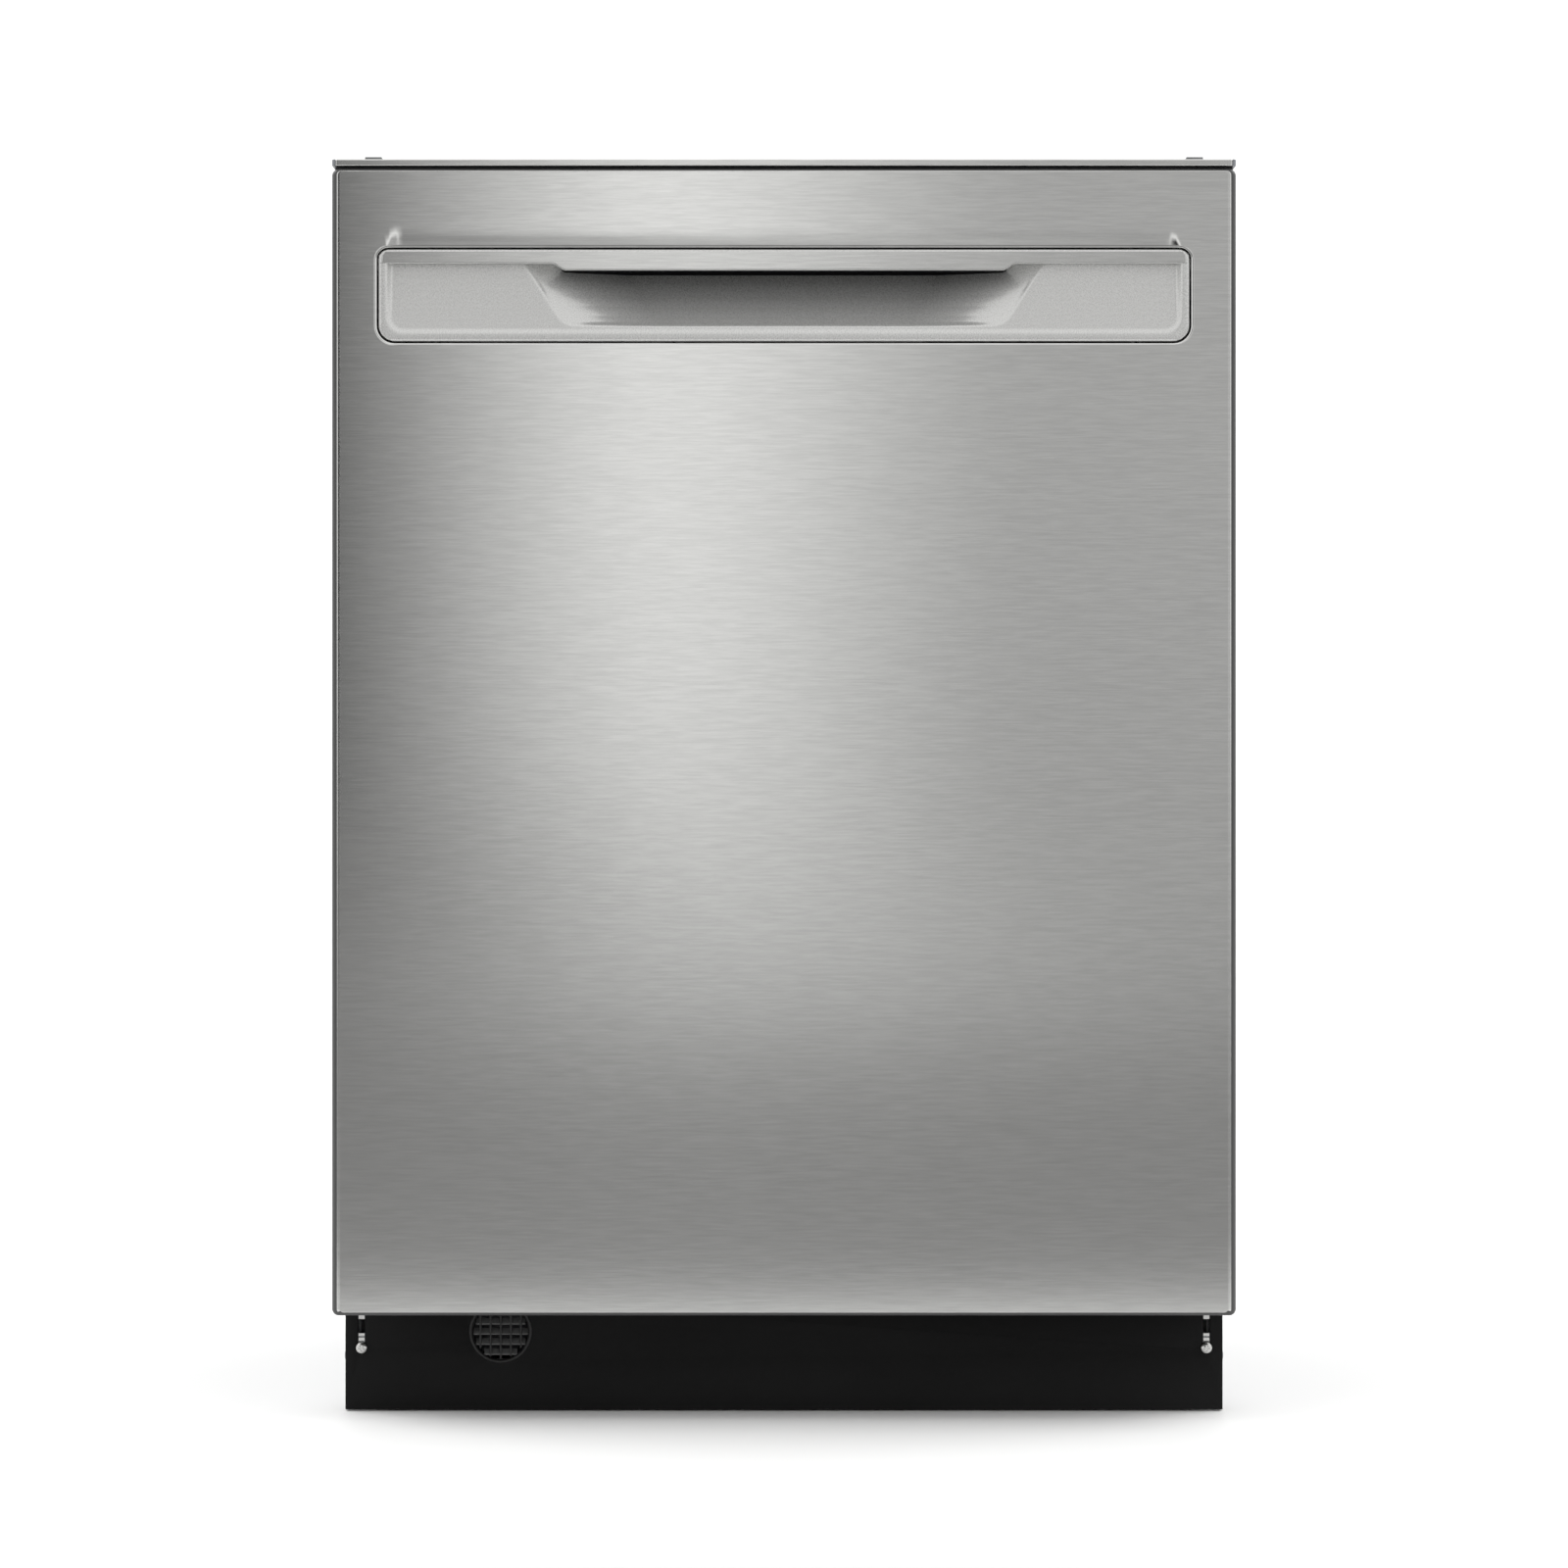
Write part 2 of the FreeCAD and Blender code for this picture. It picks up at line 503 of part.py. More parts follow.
# ---- base ----
def base_frame():
    """Folded side rails, cross bars, front tabs for the toe kick and plates for the feet."""
    top = LEDGE_Z - TUB_SHEET
    rail = prism_y([(RAIL_X - 2, 14), (RAIL_X - 14, 14), (RAIL_X - 14, 12), (RAIL_X, 12),
                    (RAIL_X, top), (RAIL_X - 2, top)], TUB_FRONT + 4, BACK)
    bars = [box(-RAIL_X + 14, RAIL_X - 14, TUB_FRONT + 8, TUB_FRONT + 10, 12, 34),
            box(-RAIL_X + 2, RAIL_X - 2, BACK - 2, BACK, 14, 40)]
    tab = box(280, RAIL_X, TUB_FRONT + 1.4, TUB_FRONT + 4, 36, 52)
    tab = tab.cut(rod((SCREW_X, TUB_FRONT, SCREW_Z), (SCREW_X, TUB_FRONT + 5, SCREW_Z), 2.1))
    plates = []
    for y in LEG_ROWS.values():
        plate = box(LEG_X - 18, RAIL_X - 2, y - 16, y + 16, 34, 37).cut(disc(LEG_X, y, 30, 40, 5.3))
        plates += [plate, mirrored(plate)]
    return [rail, mirrored(rail), tab, mirrored(tab)] + bars + plates


def base_pan():
    """Drip tray under the pumps, between the rails: a floor and four low walls."""
    half, y0, y1 = 262, TUB_FRONT + 12, BACK - 4
    return [box(-half, half, y0, y1, 16, 18),
            box(-half, half, y0, y0 + 2, 18, 26), box(-half, half, y1 - 2, y1, 18, 26),
            box(-half, -half + 2, y0 + 2, y1 - 2, 18, 26), box(half - 2, half, y0 + 2, y1 - 2, 18, 26)]


def leveling_leg(x, y):
    return fuse(disc(x, y, 0, 5, 15), disc(x, y, 5, 12, 8), disc(x, y, 12, 76, 5.0))


def toe_kick():
    """Black access panel with returned ends, a vent hole and a slot for each screw."""
    face = TUB_FRONT
    plate = box(-TOE_HALF, TOE_HALF, face, face + 1.2, 1, TOE_TOP)
    returns = [box(TOE_HALF - 1.2, TOE_HALF, face, face + 16, 1, TOE_TOP),
               box(-TOE_HALF, -TOE_HALF + 1.2, face, face + 16, 1, TOE_TOP),
               box(-TOE_HALF, TOE_HALF, face, face + 7, 1, 2.2)]
    panel = fuse(plate, *returns).cut(rod((VENT_X, face - 1, VENT_Z), (VENT_X, face + 3, VENT_Z), 20))
    for side in (-1, 1):
        x = side * SCREW_X
        panel = panel.cut(box(x - 2.3, x + 2.3, face - 1, face + 3, SCREW_Z, TOE_TOP + 1))
        panel = panel.cut(rod((x, face - 1, SCREW_Z), (x, face + 3, SCREW_Z), 2.3))
    return panel


def toe_kick_vent_grille():
    face = TUB_FRONT
    rim = rod((VENT_X, face - 0.8, VENT_Z), (VENT_X, face, VENT_Z), 21.5)
    rim = rim.cut(rod((VENT_X, face - 2, VENT_Z), (VENT_X, face + 1, VENT_Z), 18.5))
    tube = rod((VENT_X, face - 0.4, VENT_Z), (VENT_X, face + 8, VENT_Z), 19.8)
    tube = tube.cut(rod((VENT_X, face - 2, VENT_Z), (VENT_X, face + 9, VENT_Z), 18.4))
    mesh = []
    reach, pitch = 19, 9
    for i in (-1.5, -0.5, 0.5, 1.5):
        z = VENT_Z + pitch * i
        x = VENT_X + pitch * i
        mesh.append(box(VENT_X - reach, VENT_X + reach, face + 1, face + 5, z - 1.2, z + 1.2))
        mesh.append(box(x - 1, x + 1, face + 1, face + 4, VENT_Z - reach, VENT_Z + reach))
    keep = rod((VENT_X, face, VENT_Z), (VENT_X, face + 8, VENT_Z), reach)
    return fuse(rim, tube, *[bar.common(keep) for bar in mesh])


def toe_kick_screws():
    screws = []
    for side in (-1, 1):
        x = side * SCREW_X
        head = rod((x, TUB_FRONT - 2.6, SCREW_Z), (x, TUB_FRONT, SCREW_Z), 4.1)
        head = head.cut(box(x - 2, x + 2, TUB_FRONT - 3, TUB_FRONT - 1.4, SCREW_Z - 0.5, SCREW_Z + 0.5))
        head = head.cut(box(x - 0.5, x + 0.5, TUB_FRONT - 3, TUB_FRONT - 1.4, SCREW_Z - 2, SCREW_Z + 2))
        screws.append(fuse(head, rod((x, TUB_FRONT, SCREW_Z), (x, TUB_FRONT + 12, SCREW_Z), 2.0)))
    return screws


def side_bolts():
    """Domed bolt low on each side rail, near the front."""
    head = rod((RAIL_X, -228, 35.5), (301, -228, 35.5), 6.0)
    head = fillet(head, 2.5, lambda p: p.x > 300.9)
    return [head, mirrored(head)]


# ---- water system ----
def sump():
    """Moulded sump with its filter deck and the riser that the lower spray arm turns on."""
    bowl = disc(0, SPRAY_Y, 62, TUB_FLOOR, SUMP_RADIUS)
    bowl = bowl.cut(disc(0, SPRAY_Y, 66, TUB_FLOOR + 1, SUMP_RADIUS - 3))
    deck = disc(0, SPRAY_Y, TUB_FLOOR - 2, TUB_FLOOR, SUMP_RADIUS - 2)
    deck = deck.cut(disc(FILTER_X, FILTER_Y, 100, 140, FILTER_RADIUS + 0.4))
    stages = [(66, 160, 14), (158, 180, 7.95), (179, 185, 14)]
    riser = fuse(*[disc(0, SPRAY_Y, z0, z1, radius) for z0, z1, radius in stages])
    return fuse(bowl, deck, riser)


def filter_cup():
    """Open-topped strainer cup with a bar across its mouth to twist it by."""
    rim = TUB_FLOOR + 3
    cup = disc(FILTER_X, FILTER_Y, 70, rim, FILTER_RADIUS)
    cup = cup.cut(disc(FILTER_X, FILTER_Y, 73, rim + 1, FILTER_RADIUS - 2.5))
    grip = box(FILTER_X - 30, FILTER_X + 30, FILTER_Y - 3, FILTER_Y + 3, rim - 10, rim + 6)
    return fuse(cup, grip)


def heating_element():
    """Round heater above the tub floor, open over part of its turn, on two glands."""
    height = TUB_FLOOR + 18
    ring = Part.makeTorus(HEATER_RADIUS, 3.5, V(0, SPRAY_Y, height), V(0, 0, 1), 0, 360, HEATER_SWEEP)
    ends = []
    for angle in (0, HEATER_SWEEP):
        a = math.radians(angle)
        x, y = HEATER_RADIUS * math.cos(a), SPRAY_Y + HEATER_RADIUS * math.sin(a)
        ends.append(disc(x, y, TUB_FLOOR + 0.1, height + 2, 6))
    return fuse(ring, *ends)


def wash_pump():
    """Volute, motor and end cap on one axis, with an inlet that meets the sump."""
    stages = [(99, 128, 38), (128, 205, 34), (205, 212, 20)]
    volute, motor, cap = [rod((x0, PUMP_Y, PUMP_Z), (x1, PUMP_Y, PUMP_Z), radius)
                          for x0, x1, radius in stages]
    inlet = rod((80, 40, 84), (120, 40, 84), 10).cut(disc(0, SPRAY_Y, 50, 110, SUMP_RADIUS + 0.1))
    return fuse(volute, motor, cap, inlet)


def drain_pump():
    """Drain pump beside the sump, with its pipe to the hose spigot at the back."""
    sump_round = disc(0, SPRAY_Y, 61.9, 110, SUMP_RADIUS + 0.1)
    body = rod((-88, DRAIN_Y, 62), (-150, DRAIN_Y, 62), 22).cut(sump_round)
    pipe = rod((DRAIN_X, DRAIN_Y, DRAIN_Z), (DRAIN_X, BACK - 62, DRAIN_Z), 11)
    spigot = rod((DRAIN_X, BACK - 62, DRAIN_Z), (DRAIN_X, BACK - 30, DRAIN_Z), 9.5)
    return fuse(body, pipe, spigot)


def inlet_valve():
    body = box(VALVE_X - 20, VALVE_X + 20, -190, -140, 42, 92)
    coil = disc(VALVE_X, -165, 92, 102, 14)
    stub = rod((VALVE_X, -140, VALVE_Z), (VALVE_X, -122, VALVE_Z), 13.0)
    return fuse(body, coil, stub)


def junction_box():
    body = fuse(box(195, 252, -232, -170, 30, 84), box(193, 254, -234, -168, 84, 86))
    return body.cut(rod((226, -190, 56), (226, -165, 56), 11))


def spray_feed_tube():
    """Water channel up the tub's back and along its ceiling to the top nozzle."""
    riser = box(-20, 20, 274, TUB_BACK - 0.1, TUB_FLOOR + 0.1, TUB_CEILING - 6)
    arm = box(-14, 14, SPRAY_Y, TUB_BACK - 0.1, 806, TUB_CEILING - 6)
    nozzle = disc(0, SPRAY_Y, 796, TUB_CEILING - 6, 28)
    port = rod((0, 262, 472), (0, 275, 472), 11)
    return fuse(riser, arm, nozzle, port)


def float_dome():
    top = TUB_FLOOR + 32
    dome = disc(FLOAT_X, FLOAT_Y, TUB_FLOOR + 0.5, top, 16)
    dome = fillet(dome, 6, lambda p: p.z > top - 0.1)
    return fuse(dome, disc(FLOAT_X, FLOAT_Y, TUB_FLOOR - 20, TUB_FLOOR + 1, 4))


def spray_arm(z0, z1, reach):
    """Flat arm with round ends and rows of nozzle holes, bored for its riser."""
    half = ARM_HALF_WIDTH
    arm = fuse(box(-reach + half, reach - half, SPRAY_Y - half, SPRAY_Y + half, z0, z1),
               disc(-reach + half, SPRAY_Y, z0, z1, half), disc(reach - half, SPRAY_Y, z0, z1, half),
               disc(0, SPRAY_Y, z0, z1, 26))
    holes = [disc(end * x, SPRAY_Y + side * 6, z1 - 2, z1 + 1, 1.6)
             for x in NOZZLES for end in (-1, 1) for side in (-1, 1)]
    return arm.cut(disc(0, SPRAY_Y, z0 - 1, z1 + 1, 8.0)).cut(Part.makeCompound(holes))


# ---- racks ----
def loop(half, y0, y1, z, radius):
    """Level rim of four straight wires that meet end to side."""
    inset = radius
    return [rod((-half, y0, z), (half, y0, z), radius), rod((-half, y1, z), (half, y1, z), radius),
            rod((-half + inset, y0 + inset, z), (-half + inset, y1 - inset, z), radius),
            rod((half - inset, y0 + inset, z), (half - inset, y1 - inset, z), radius)]


def basket(half, y0, y1, floor, rims, columns, rows):
    """Wire basket: two crossed floor layers, upright posts on all sides, and level rims outside them."""
    wires = []
    inner = half - 3 * WIRE
    for x in spread(-inner, inner, columns):
        wires.append(rod((x, y0 + 2 * WIRE, floor), (x, y1 - 2 * WIRE, floor), WIRE))
    for y in spread(y0 + 4 * WIRE, y1 - 4 * WIRE, rows):
        wires.append(rod((-inner, y, floor + 2 * WIRE), (inner, y, floor + 2 * WIRE), WIRE))
        for x in (-inner, inner):
            wires.append(rod((x, y, floor + 3 * WIRE), (x, y, rims[-1]), WIRE))
    for x in spread(-inner, inner, columns)[1:-1]:
        for y in (y0 + 2 * WIRE, y1 - 2 * WIRE):
            wires.append(rod((x, y, floor + WIRE), (x, y, rims[-1]), WIRE))
    for z in rims:
        wires += loop(half, y0, y1, z, WIRE)
    return wires


def tines(xs, ys, z0, z1):
    return [rod((x, y, z0), (x, y, z1), TINE) for x in xs for y in ys]


def lower_rack():
    floor_top = LOWER_FLOOR + 3 * WIRE
    wires = basket(LOWER_HALF, LOWER_FRONT, LOWER_BACK, LOWER_FLOOR, (236, 330), 9, 11)
    ys = spread(LOWER_FRONT + 4 * WIRE, LOWER_BACK - 4 * WIRE, 11)
    wires += tines((-184, -92, 31, 123, 184), ys[3:10], floor_top, 285)
    brackets = []
    for y in WHEEL_ROWS.values():
        plate = box(LOWER_HALF - 1.5, LOWER_HALF + 1.5, y - 16, y + 16, 136, 236 - WIRE)
        pin = rod((LOWER_HALF, y, LEDGE_Z + WHEEL_RADIUS + 0.3),
                  (LOWER_HALF + 23, y, LEDGE_Z + WHEEL_RADIUS + 0.3), 3.0)
        bracket = fuse(plate, pin)
        brackets += [bracket, mirrored(bracket)]
    return wires + brackets


def rack_wheel(side, y):
    z = LEDGE_Z + WHEEL_RADIUS + 0.3
    x0, x1 = side * (LOWER_HALF + 9), side * (LOWER_HALF + 19)
    wheel = rod((x0, y, z), (x1, y, z), WHEEL_RADIUS)
    return wheel.cut(rod((x0 - side, y, z), (x1 + side, y, z), 3.05))


def upper_rack():
    floor_top = UPPER_FLOOR + 3 * WIRE
    wires = basket(UPPER_HALF, UPPER_FRONT, UPPER_BACK, UPPER_FLOOR, (526, 600), 9, 11)
    ys = spread(UPPER_FRONT + 4 * WIRE, UPPER_BACK - 4 * WIRE, 11)
    wires += tines((-123, -61, 61, 123), ys[1:10], floor_top, 540)
    rollers = []
    for y in (70, 215):
        plate = box(UPPER_HALF - 1.5, UPPER_HALF + 1.5, y - 18, y + 18, 526 + WIRE, 600 - WIRE)
        pin = rod((UPPER_HALF, y, TRACK_Z), (UPPER_HALF + 24, y, TRACK_Z), 3.0)
        wheel = rod((UPPER_HALF + 17, y, TRACK_Z), (UPPER_HALF + 24, y, TRACK_Z), 8.0)
        roller = fuse(plate, pin, wheel)
        rollers += [roller, mirrored(roller)]
    return wires + rollers


def upper_tracks():
    """Channel each side: the rack's rollers run inside it, and it runs in the tub's guides."""
    x0, x1 = UPPER_HALF + 15, UPPER_HALF + 27
    wall = 1.7
    track = prism_y([(x0, TRACK_Z - 10), (x1, TRACK_Z - 10), (x1, TRACK_Z + 10), (x0, TRACK_Z + 10),
                     (x0, TRACK_Z + 10 - wall), (x1 - wall, TRACK_Z + 10 - wall),
                     (x1 - wall, TRACK_Z - 10 + wall), (x0, TRACK_Z - 10 + wall)],
                    UPPER_FRONT, UPPER_BACK - 2)
    return [track, mirrored(track)]


def track_guides():
    blocks = []
    for y in (-215, -55):
        block = prism_y([(UPPER_HALF + 27.5, TRACK_Z - 14), (TUB_HALF - 0.1, TRACK_Z - 14),
                         (TUB_HALF - 0.1, TRACK_Z + 14), (UPPER_HALF + 27.5, TRACK_Z + 14)], y, y + 40)
        lips = [box(UPPER_HALF + 21, UPPER_HALF + 28, y, y + 40, TRACK_Z + 10.5, TRACK_Z + 14),
                box(UPPER_HALF + 21, UPPER_HALF + 28, y, y + 40, TRACK_Z - 14, TRACK_Z - 10.5)]
        guide = fuse(block, *lips)
        blocks += [guide, mirrored(guide)]
    return blocks


def cup_shelf():
    """Fold-down shelf of slats on the basket's right-hand side, lying level."""
    hinge_x, z = SHELF_X, SHELF_Z
    tip, half = hinge_x - SHELF_WIDTH, SHELF_HALF_LENGTH
    slats = [box(tip, hinge_x, y - 4, y + 4, z - 1.5, z + 1.5) for y in spread(-half, half, 9)]
    rails = [box(tip - 4, tip + 4, -half - 4, half + 4, z - 2, z + 2),
             rod((hinge_x, -half - 4, z), (hinge_x, half + 4, z), 3.5)]
    return fuse(*rails, *slats)


def mid_spray_manifold():
    feed = box(-11, 11, SPRAY_Y, 261.5, 466, 478)
    hub = disc(0, SPRAY_Y, 453, 487.7, 20)
    pin = fuse(disc(0, SPRAY_Y, 431, 454, 7.95), disc(0, SPRAY_Y, 430, 437, 14))
    return fuse(feed, hub, pin)


def silverware_basket():
    """Open-topped cutlery basket with dividers and a lifting handle."""
    x, y0, y1, z0, z1 = BASKET_HALF, BASKET_FRONT, BASKET_BACK, BASKET_BOTTOM, BASKET_TOP
    wall = 2.0
    middle = (y0 + y1) / 2
    parts = [box(-x, x, y0, y1, z0, z0 + wall),
             box(-x, x, y0, y0 + wall, z0 + wall, z1), box(-x, x, y1 - wall, y1, z0 + wall, z1)]
    for at in spread(-x + 1, x - 1, 6):
        for front, back in ((y0 + wall, middle - 3), (middle + 3, y1 - wall)):
            parts.append(box(at - 1, at + 1, front, back, z0 + wall, z1))
        if abs(at) > 60:
            parts.append(box(at - 1, at + 1, middle - 3, middle + 3, z0 + wall, z1))
    parts.append(box(-60, 60, middle - 3, middle + 3, z0 + wall, z1 + 6))
    parts += [box(-60, -44, middle - 3, middle + 3, z1 + 6, z1 + 24),
              box(44, 60, middle - 3, middle + 3, z1 + 6, z1 + 24),
              box(-60, 60, middle - 3, middle + 3, z1 + 24, z1 + 32)]
    return parts


# ---- build ----
save("door_outer_panel", door_outer_panel())
save("handle_pocket", *handle_pocket())
save("door_liner", door_liner())
save("door_insulation", door_insulation())
save("console_trim", console_trim())
save("control_console", control_console())
for name, place in BUTTONS.items():
    save(name, button(place))
save("control_board", control_board())
save("latch_housing", latch_housing())
save("latch_hook", latch_hook())
save("latch_strike", latch_strike())
save("dispenser_body", dispenser_body())
save("dispenser_lid", dispenser_lid())
save("rinse_aid_cap", rinse_aid_cap())
save("door_vent_grille", door_vent_grille())
save("hinge_arms", *hinge_arms())
save("hinge_brackets", *hinge_brackets())
save("hinge_springs", *hinge_springs())
save("wash_tub", *wash_tub())
save("tub_front_flange", *tub_front_flange())
save("tub_gasket", *tub_gasket())
save("sound_blanket", *sound_blanket())
save("mounting_brackets", *mounting_brackets())
save("base_frame", *base_frame())
save("base_pan", *base_pan())
for row, place in LEG_ROWS.items():
    save(row + "_left_leg", leveling_leg(-LEG_X, place))
    save(row + "_right_leg", leveling_leg(LEG_X, place))
save("toe_kick", toe_kick())
save("toe_kick_vent_grille", toe_kick_vent_grille())
save("toe_kick_screws", *toe_kick_screws())
save("side_bolts", *side_bolts())
save("sump", sump())
save("filter_cup", filter_cup())
save("heating_element", heating_element())
save("wash_pump", wash_pump())
save("drain_pump", drain_pump())
save("inlet_valve", inlet_valve())
save("junction_box", junction_box())
save("spray_feed_tube", spray_feed_tube())
save("float", float_dome())
save("lower_spray_arm", spray_arm(164, 176, 232))
save("mid_spray_arm", spray_arm(439, 450, 225))
save("lower_rack", *lower_rack())
for row, place in WHEEL_ROWS.items():
    save("lower_" + row + "_left_wheel", rack_wheel(-1, place))
    save("lower_" + row + "_right_wheel", rack_wheel(1, place))
save("upper_rack", *upper_rack())
save("upper_tracks", *upper_tracks())
save("track_guides", *track_guides())
save("cup_shelf_right", cup_shelf())
save("cup_shelf_left", mirrored(cup_shelf()))
save("mid_spray_manifold", mid_spray_manifold())
save("silverware_basket", *silverware_basket())
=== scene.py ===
"""Looks of the built-in dishwasher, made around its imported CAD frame.

Shapes are in millimetres until a piece is made. X points right, the front faces -Y and Z points up.
"""

import json
import math
import bmesh
import bpy
import numpy as np
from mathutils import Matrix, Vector, noise


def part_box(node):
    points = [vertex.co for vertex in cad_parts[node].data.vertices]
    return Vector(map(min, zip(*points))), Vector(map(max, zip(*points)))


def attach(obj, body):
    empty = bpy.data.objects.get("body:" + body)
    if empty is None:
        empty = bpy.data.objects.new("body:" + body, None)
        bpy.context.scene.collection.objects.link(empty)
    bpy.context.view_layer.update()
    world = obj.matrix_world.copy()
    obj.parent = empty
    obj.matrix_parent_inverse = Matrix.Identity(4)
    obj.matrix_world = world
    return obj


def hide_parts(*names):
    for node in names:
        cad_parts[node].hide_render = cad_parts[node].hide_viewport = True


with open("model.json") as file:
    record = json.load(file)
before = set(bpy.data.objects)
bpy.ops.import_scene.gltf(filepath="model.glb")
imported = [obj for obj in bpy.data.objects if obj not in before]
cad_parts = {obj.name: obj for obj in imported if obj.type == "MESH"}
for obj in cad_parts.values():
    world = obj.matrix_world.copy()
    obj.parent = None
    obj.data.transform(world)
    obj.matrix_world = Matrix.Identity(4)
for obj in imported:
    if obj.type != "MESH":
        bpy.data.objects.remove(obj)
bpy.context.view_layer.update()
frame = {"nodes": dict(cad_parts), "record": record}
BODY_OF = {node: body for body, nodes in frame["record"]["behaviour"]["bodies"].items() for node in nodes}
SLOT_OF = {entry["node"]: entry["material_slot"] for entry in frame["record"]["subparts"]}
MM = 0.001
QUARTER = math.pi / 2
SIDES = (-1, 1)


def node_box(name):
    """Lowest and highest corners of a CAD node in millimetres."""
    low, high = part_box(name)
    return low / MM, high / MM


def node_middle(name):
    """Middle of a CAD node's box in millimetres."""
    return [(a + b) / 2 for a, b in zip(*node_box(name))]


# ---- places taken from the frame ----
PANEL_LOW, PANEL_HIGH = node_box("door_outer_panel")
POCKET_LOW, POCKET_HIGH = node_box("handle_pocket")
TRIM_LOW, TRIM_HIGH = node_box("console_trim")
TOE_FRONT = node_box("toe_kick")[0].y
DOOR_HALF = PANEL_HIGH.x
PANEL_FRONT = PANEL_LOW.y
POCKET_HALF = POCKET_HIGH.x
POCKET_FRONT = POCKET_LOW.y
POCKET_BOTTOM = POCKET_LOW.z
INSERT_HEIGHT = 61.3  # of the handle insert's visible face
POCKET_TOP = POCKET_BOTTOM + INSERT_HEIGHT

# ---- door skin: sheet, cut-out for the handle, bends, flanges and the dish above the handle ----
SHEET = 0.9
PANEL_GAP = 1.0
HOLE_RADII = (7.5, 11.5)  # top and bottom corners of the cut-out
BEND_SIDE = 4.6  # rounding along the sides
BEND_END = 1.6  # rounding along the top and bottom
PANEL_CORNER = 4.2
TOP_FLANGE = 6.5
BOTTOM_FLANGE = 14.0
SIDE_FLANGE = 38.0
DISH_DEPTH = 1.0
DISH_HEIGHT = 16.0
DISH_END = 266.0  # half width of the dish
DISH_RUN = 8.0  # length of its rounded ends

# ---- handle: chamfered edge, steel strip, scoop, finger pocket and the hollow behind the lip ----
EDGE = 1.4
INSERT_RADII = (6.5, 10.5)  # top and bottom corners of the insert
INSERT_ENDS = 252.0  # from here outward the points follow the rounded ends
STRIP_SIDE = 775.7  # height of the strip's lower edge at the sides
STRIP_MIDDLE = 771.0  # and over the finger pocket
STEP_START = 146.4
STEP_END = 155.5
SCOOP_HALF = 267.0
SCOOP_BOTTOM = 727.6
SCOOP_CORNER = 12.0
SCOOP_ROLL = 4.5  # width of its rolled edge
SCOOP_DEPTH = (0.7, 4.3)  # at its bottom, and what its top adds
FINGER_BOTTOM = 732.8
FINGER_CORNER = 9.0
FINGER_ROLL = 4.0
FINGER_HEIGHTS = [732, 735, 741, 748, 756, 764, 772]
FINGER_DEPTHS = [0, 7, 15, 22, 28, 32.5, 37.5]  # of the pocket's floor at these heights
FINGER_LOW = 733.0
FINGER_LOW_HALF = 149.0  # half width at that height
FINGER_SPREAD = 24.5 / 40.0  # growth of the half width with height
FINGER_END_RUN = 70.0  # length over which the end walls go in
RISE_TOP = 806.0
RISE_HALF = 150.0
LIP_BACK = 9.0

# ---- trim, toe kick and console ----
CAP_WIDTH = 2.6
TRIM_RADIUS = 3.5
WINDOW_HALF = 250.0
VENT_HOLE = 18.6  # radius inside the vent's ring
VENT_PITCH = 6.9
SCREW_HEAD = 4.1  # radius of a toe kick screw's head
BUTTONS = ["power_button", "cycle_button", "options_button", "dry_button", "start_button"]
BUTTON_MIDDLE = -285.5  # place of the row of buttons from front to back

# ---- sound blanket and door filling ----
PINS = [(0.12, 0.12), (0.88, 0.12), (0.12, 0.88), (0.88, 0.88), (0.5, 0.5)]  # shares of a mat's sides
WASHER = [(11, 0), (11, 0.8), (9.5, 1.4), (3.2, 1.6), (2.6, 3.2), (0.8, 3.6)]
MAT_CELL = 9  # spacing of a mat's points
MAT_EDGE = 5  # width over which its edge rises
MAT_DENT = 420  # spread of the dent round a washer, in square millimetres

# ---- studio, in metres ----
CAMERA_DISTANCE = 3.5
CAMERA_HEIGHT = 0.427
FRAME_WIDTH = 1.05  # width of the view at the door
SENSOR = 36.0
FLOOR_REACH = 30.0
LAMP_PLACE = (2.2, 0.6, 2.7)
LAMP_TARGET = (0, -0.4, 0.2)
LAMP_SIZE = 1.6
LAMP_POWER = 26

# ---- floor with painted shade: share of white just in front of the machine and far in front of it, and where it fades ----
FLOOR_FRONT = 0.22
FLOOR_FAR = 0.75
FLOOR_LEFT = 0.2
FLOOR_RIGHT = 0.6
NEAR_FADE = (-1.3, -0.8)
FAR_FADE = (-9.0, -2.0)
LEFT_FADE = (-1.5, -0.1)
RIGHT_FADE = (0.0, 1.3)

# ---- world: strength of the light in front and around, and the directions between which it changes ----
FRONT_RIGHT = 0.5
FRONT_LOW = 0.62
FRONT_HIGH = 1.3
WINGS = 1.15
AROUND = 1.2
COLUMN_LEFT = (-0.115, -0.015)
COLUMN_RIGHT = (-0.03, 0.05)
COLUMN_FOOT = (-0.18, 0.07)
WING_RISE = (0.22, 0.42)
BACK_RISE = (-0.5, 0.2)
TOP_RISE = (0.16, 0.6)


def smooth(t):
    """Eases a share from 0 to 1."""
    t = np.clip(t, 0.0, 1.0)
    return t * t * (3 - 2 * t)


# ---- shader nodes ----
def shader_node(tree, kind, inputs, **settings):
    """Outputs of a new node. Each input is a number, a colour or another node's output."""
    node = tree.nodes.new("ShaderNode" + kind)
    for setting, value in settings.items():
        setattr(node, setting, value)
    for socket, value in inputs.items():
        if isinstance(value, bpy.types.NodeSocket):
            tree.links.new(value, node.inputs[socket])
        else:
            node.inputs[socket].default_value = value
    return node.outputs


def ramp(tree, value, start, stop, low, high, style="SMOOTHSTEP"):
    """Goes from low to high while a value goes from start to stop."""
    numbers = {"From Min": start, "From Max": stop, "To Min": low, "To Max": high}
    return shader_node(tree, "MapRange", {"Value": value, **numbers}, interpolation_type=style)["Result"]


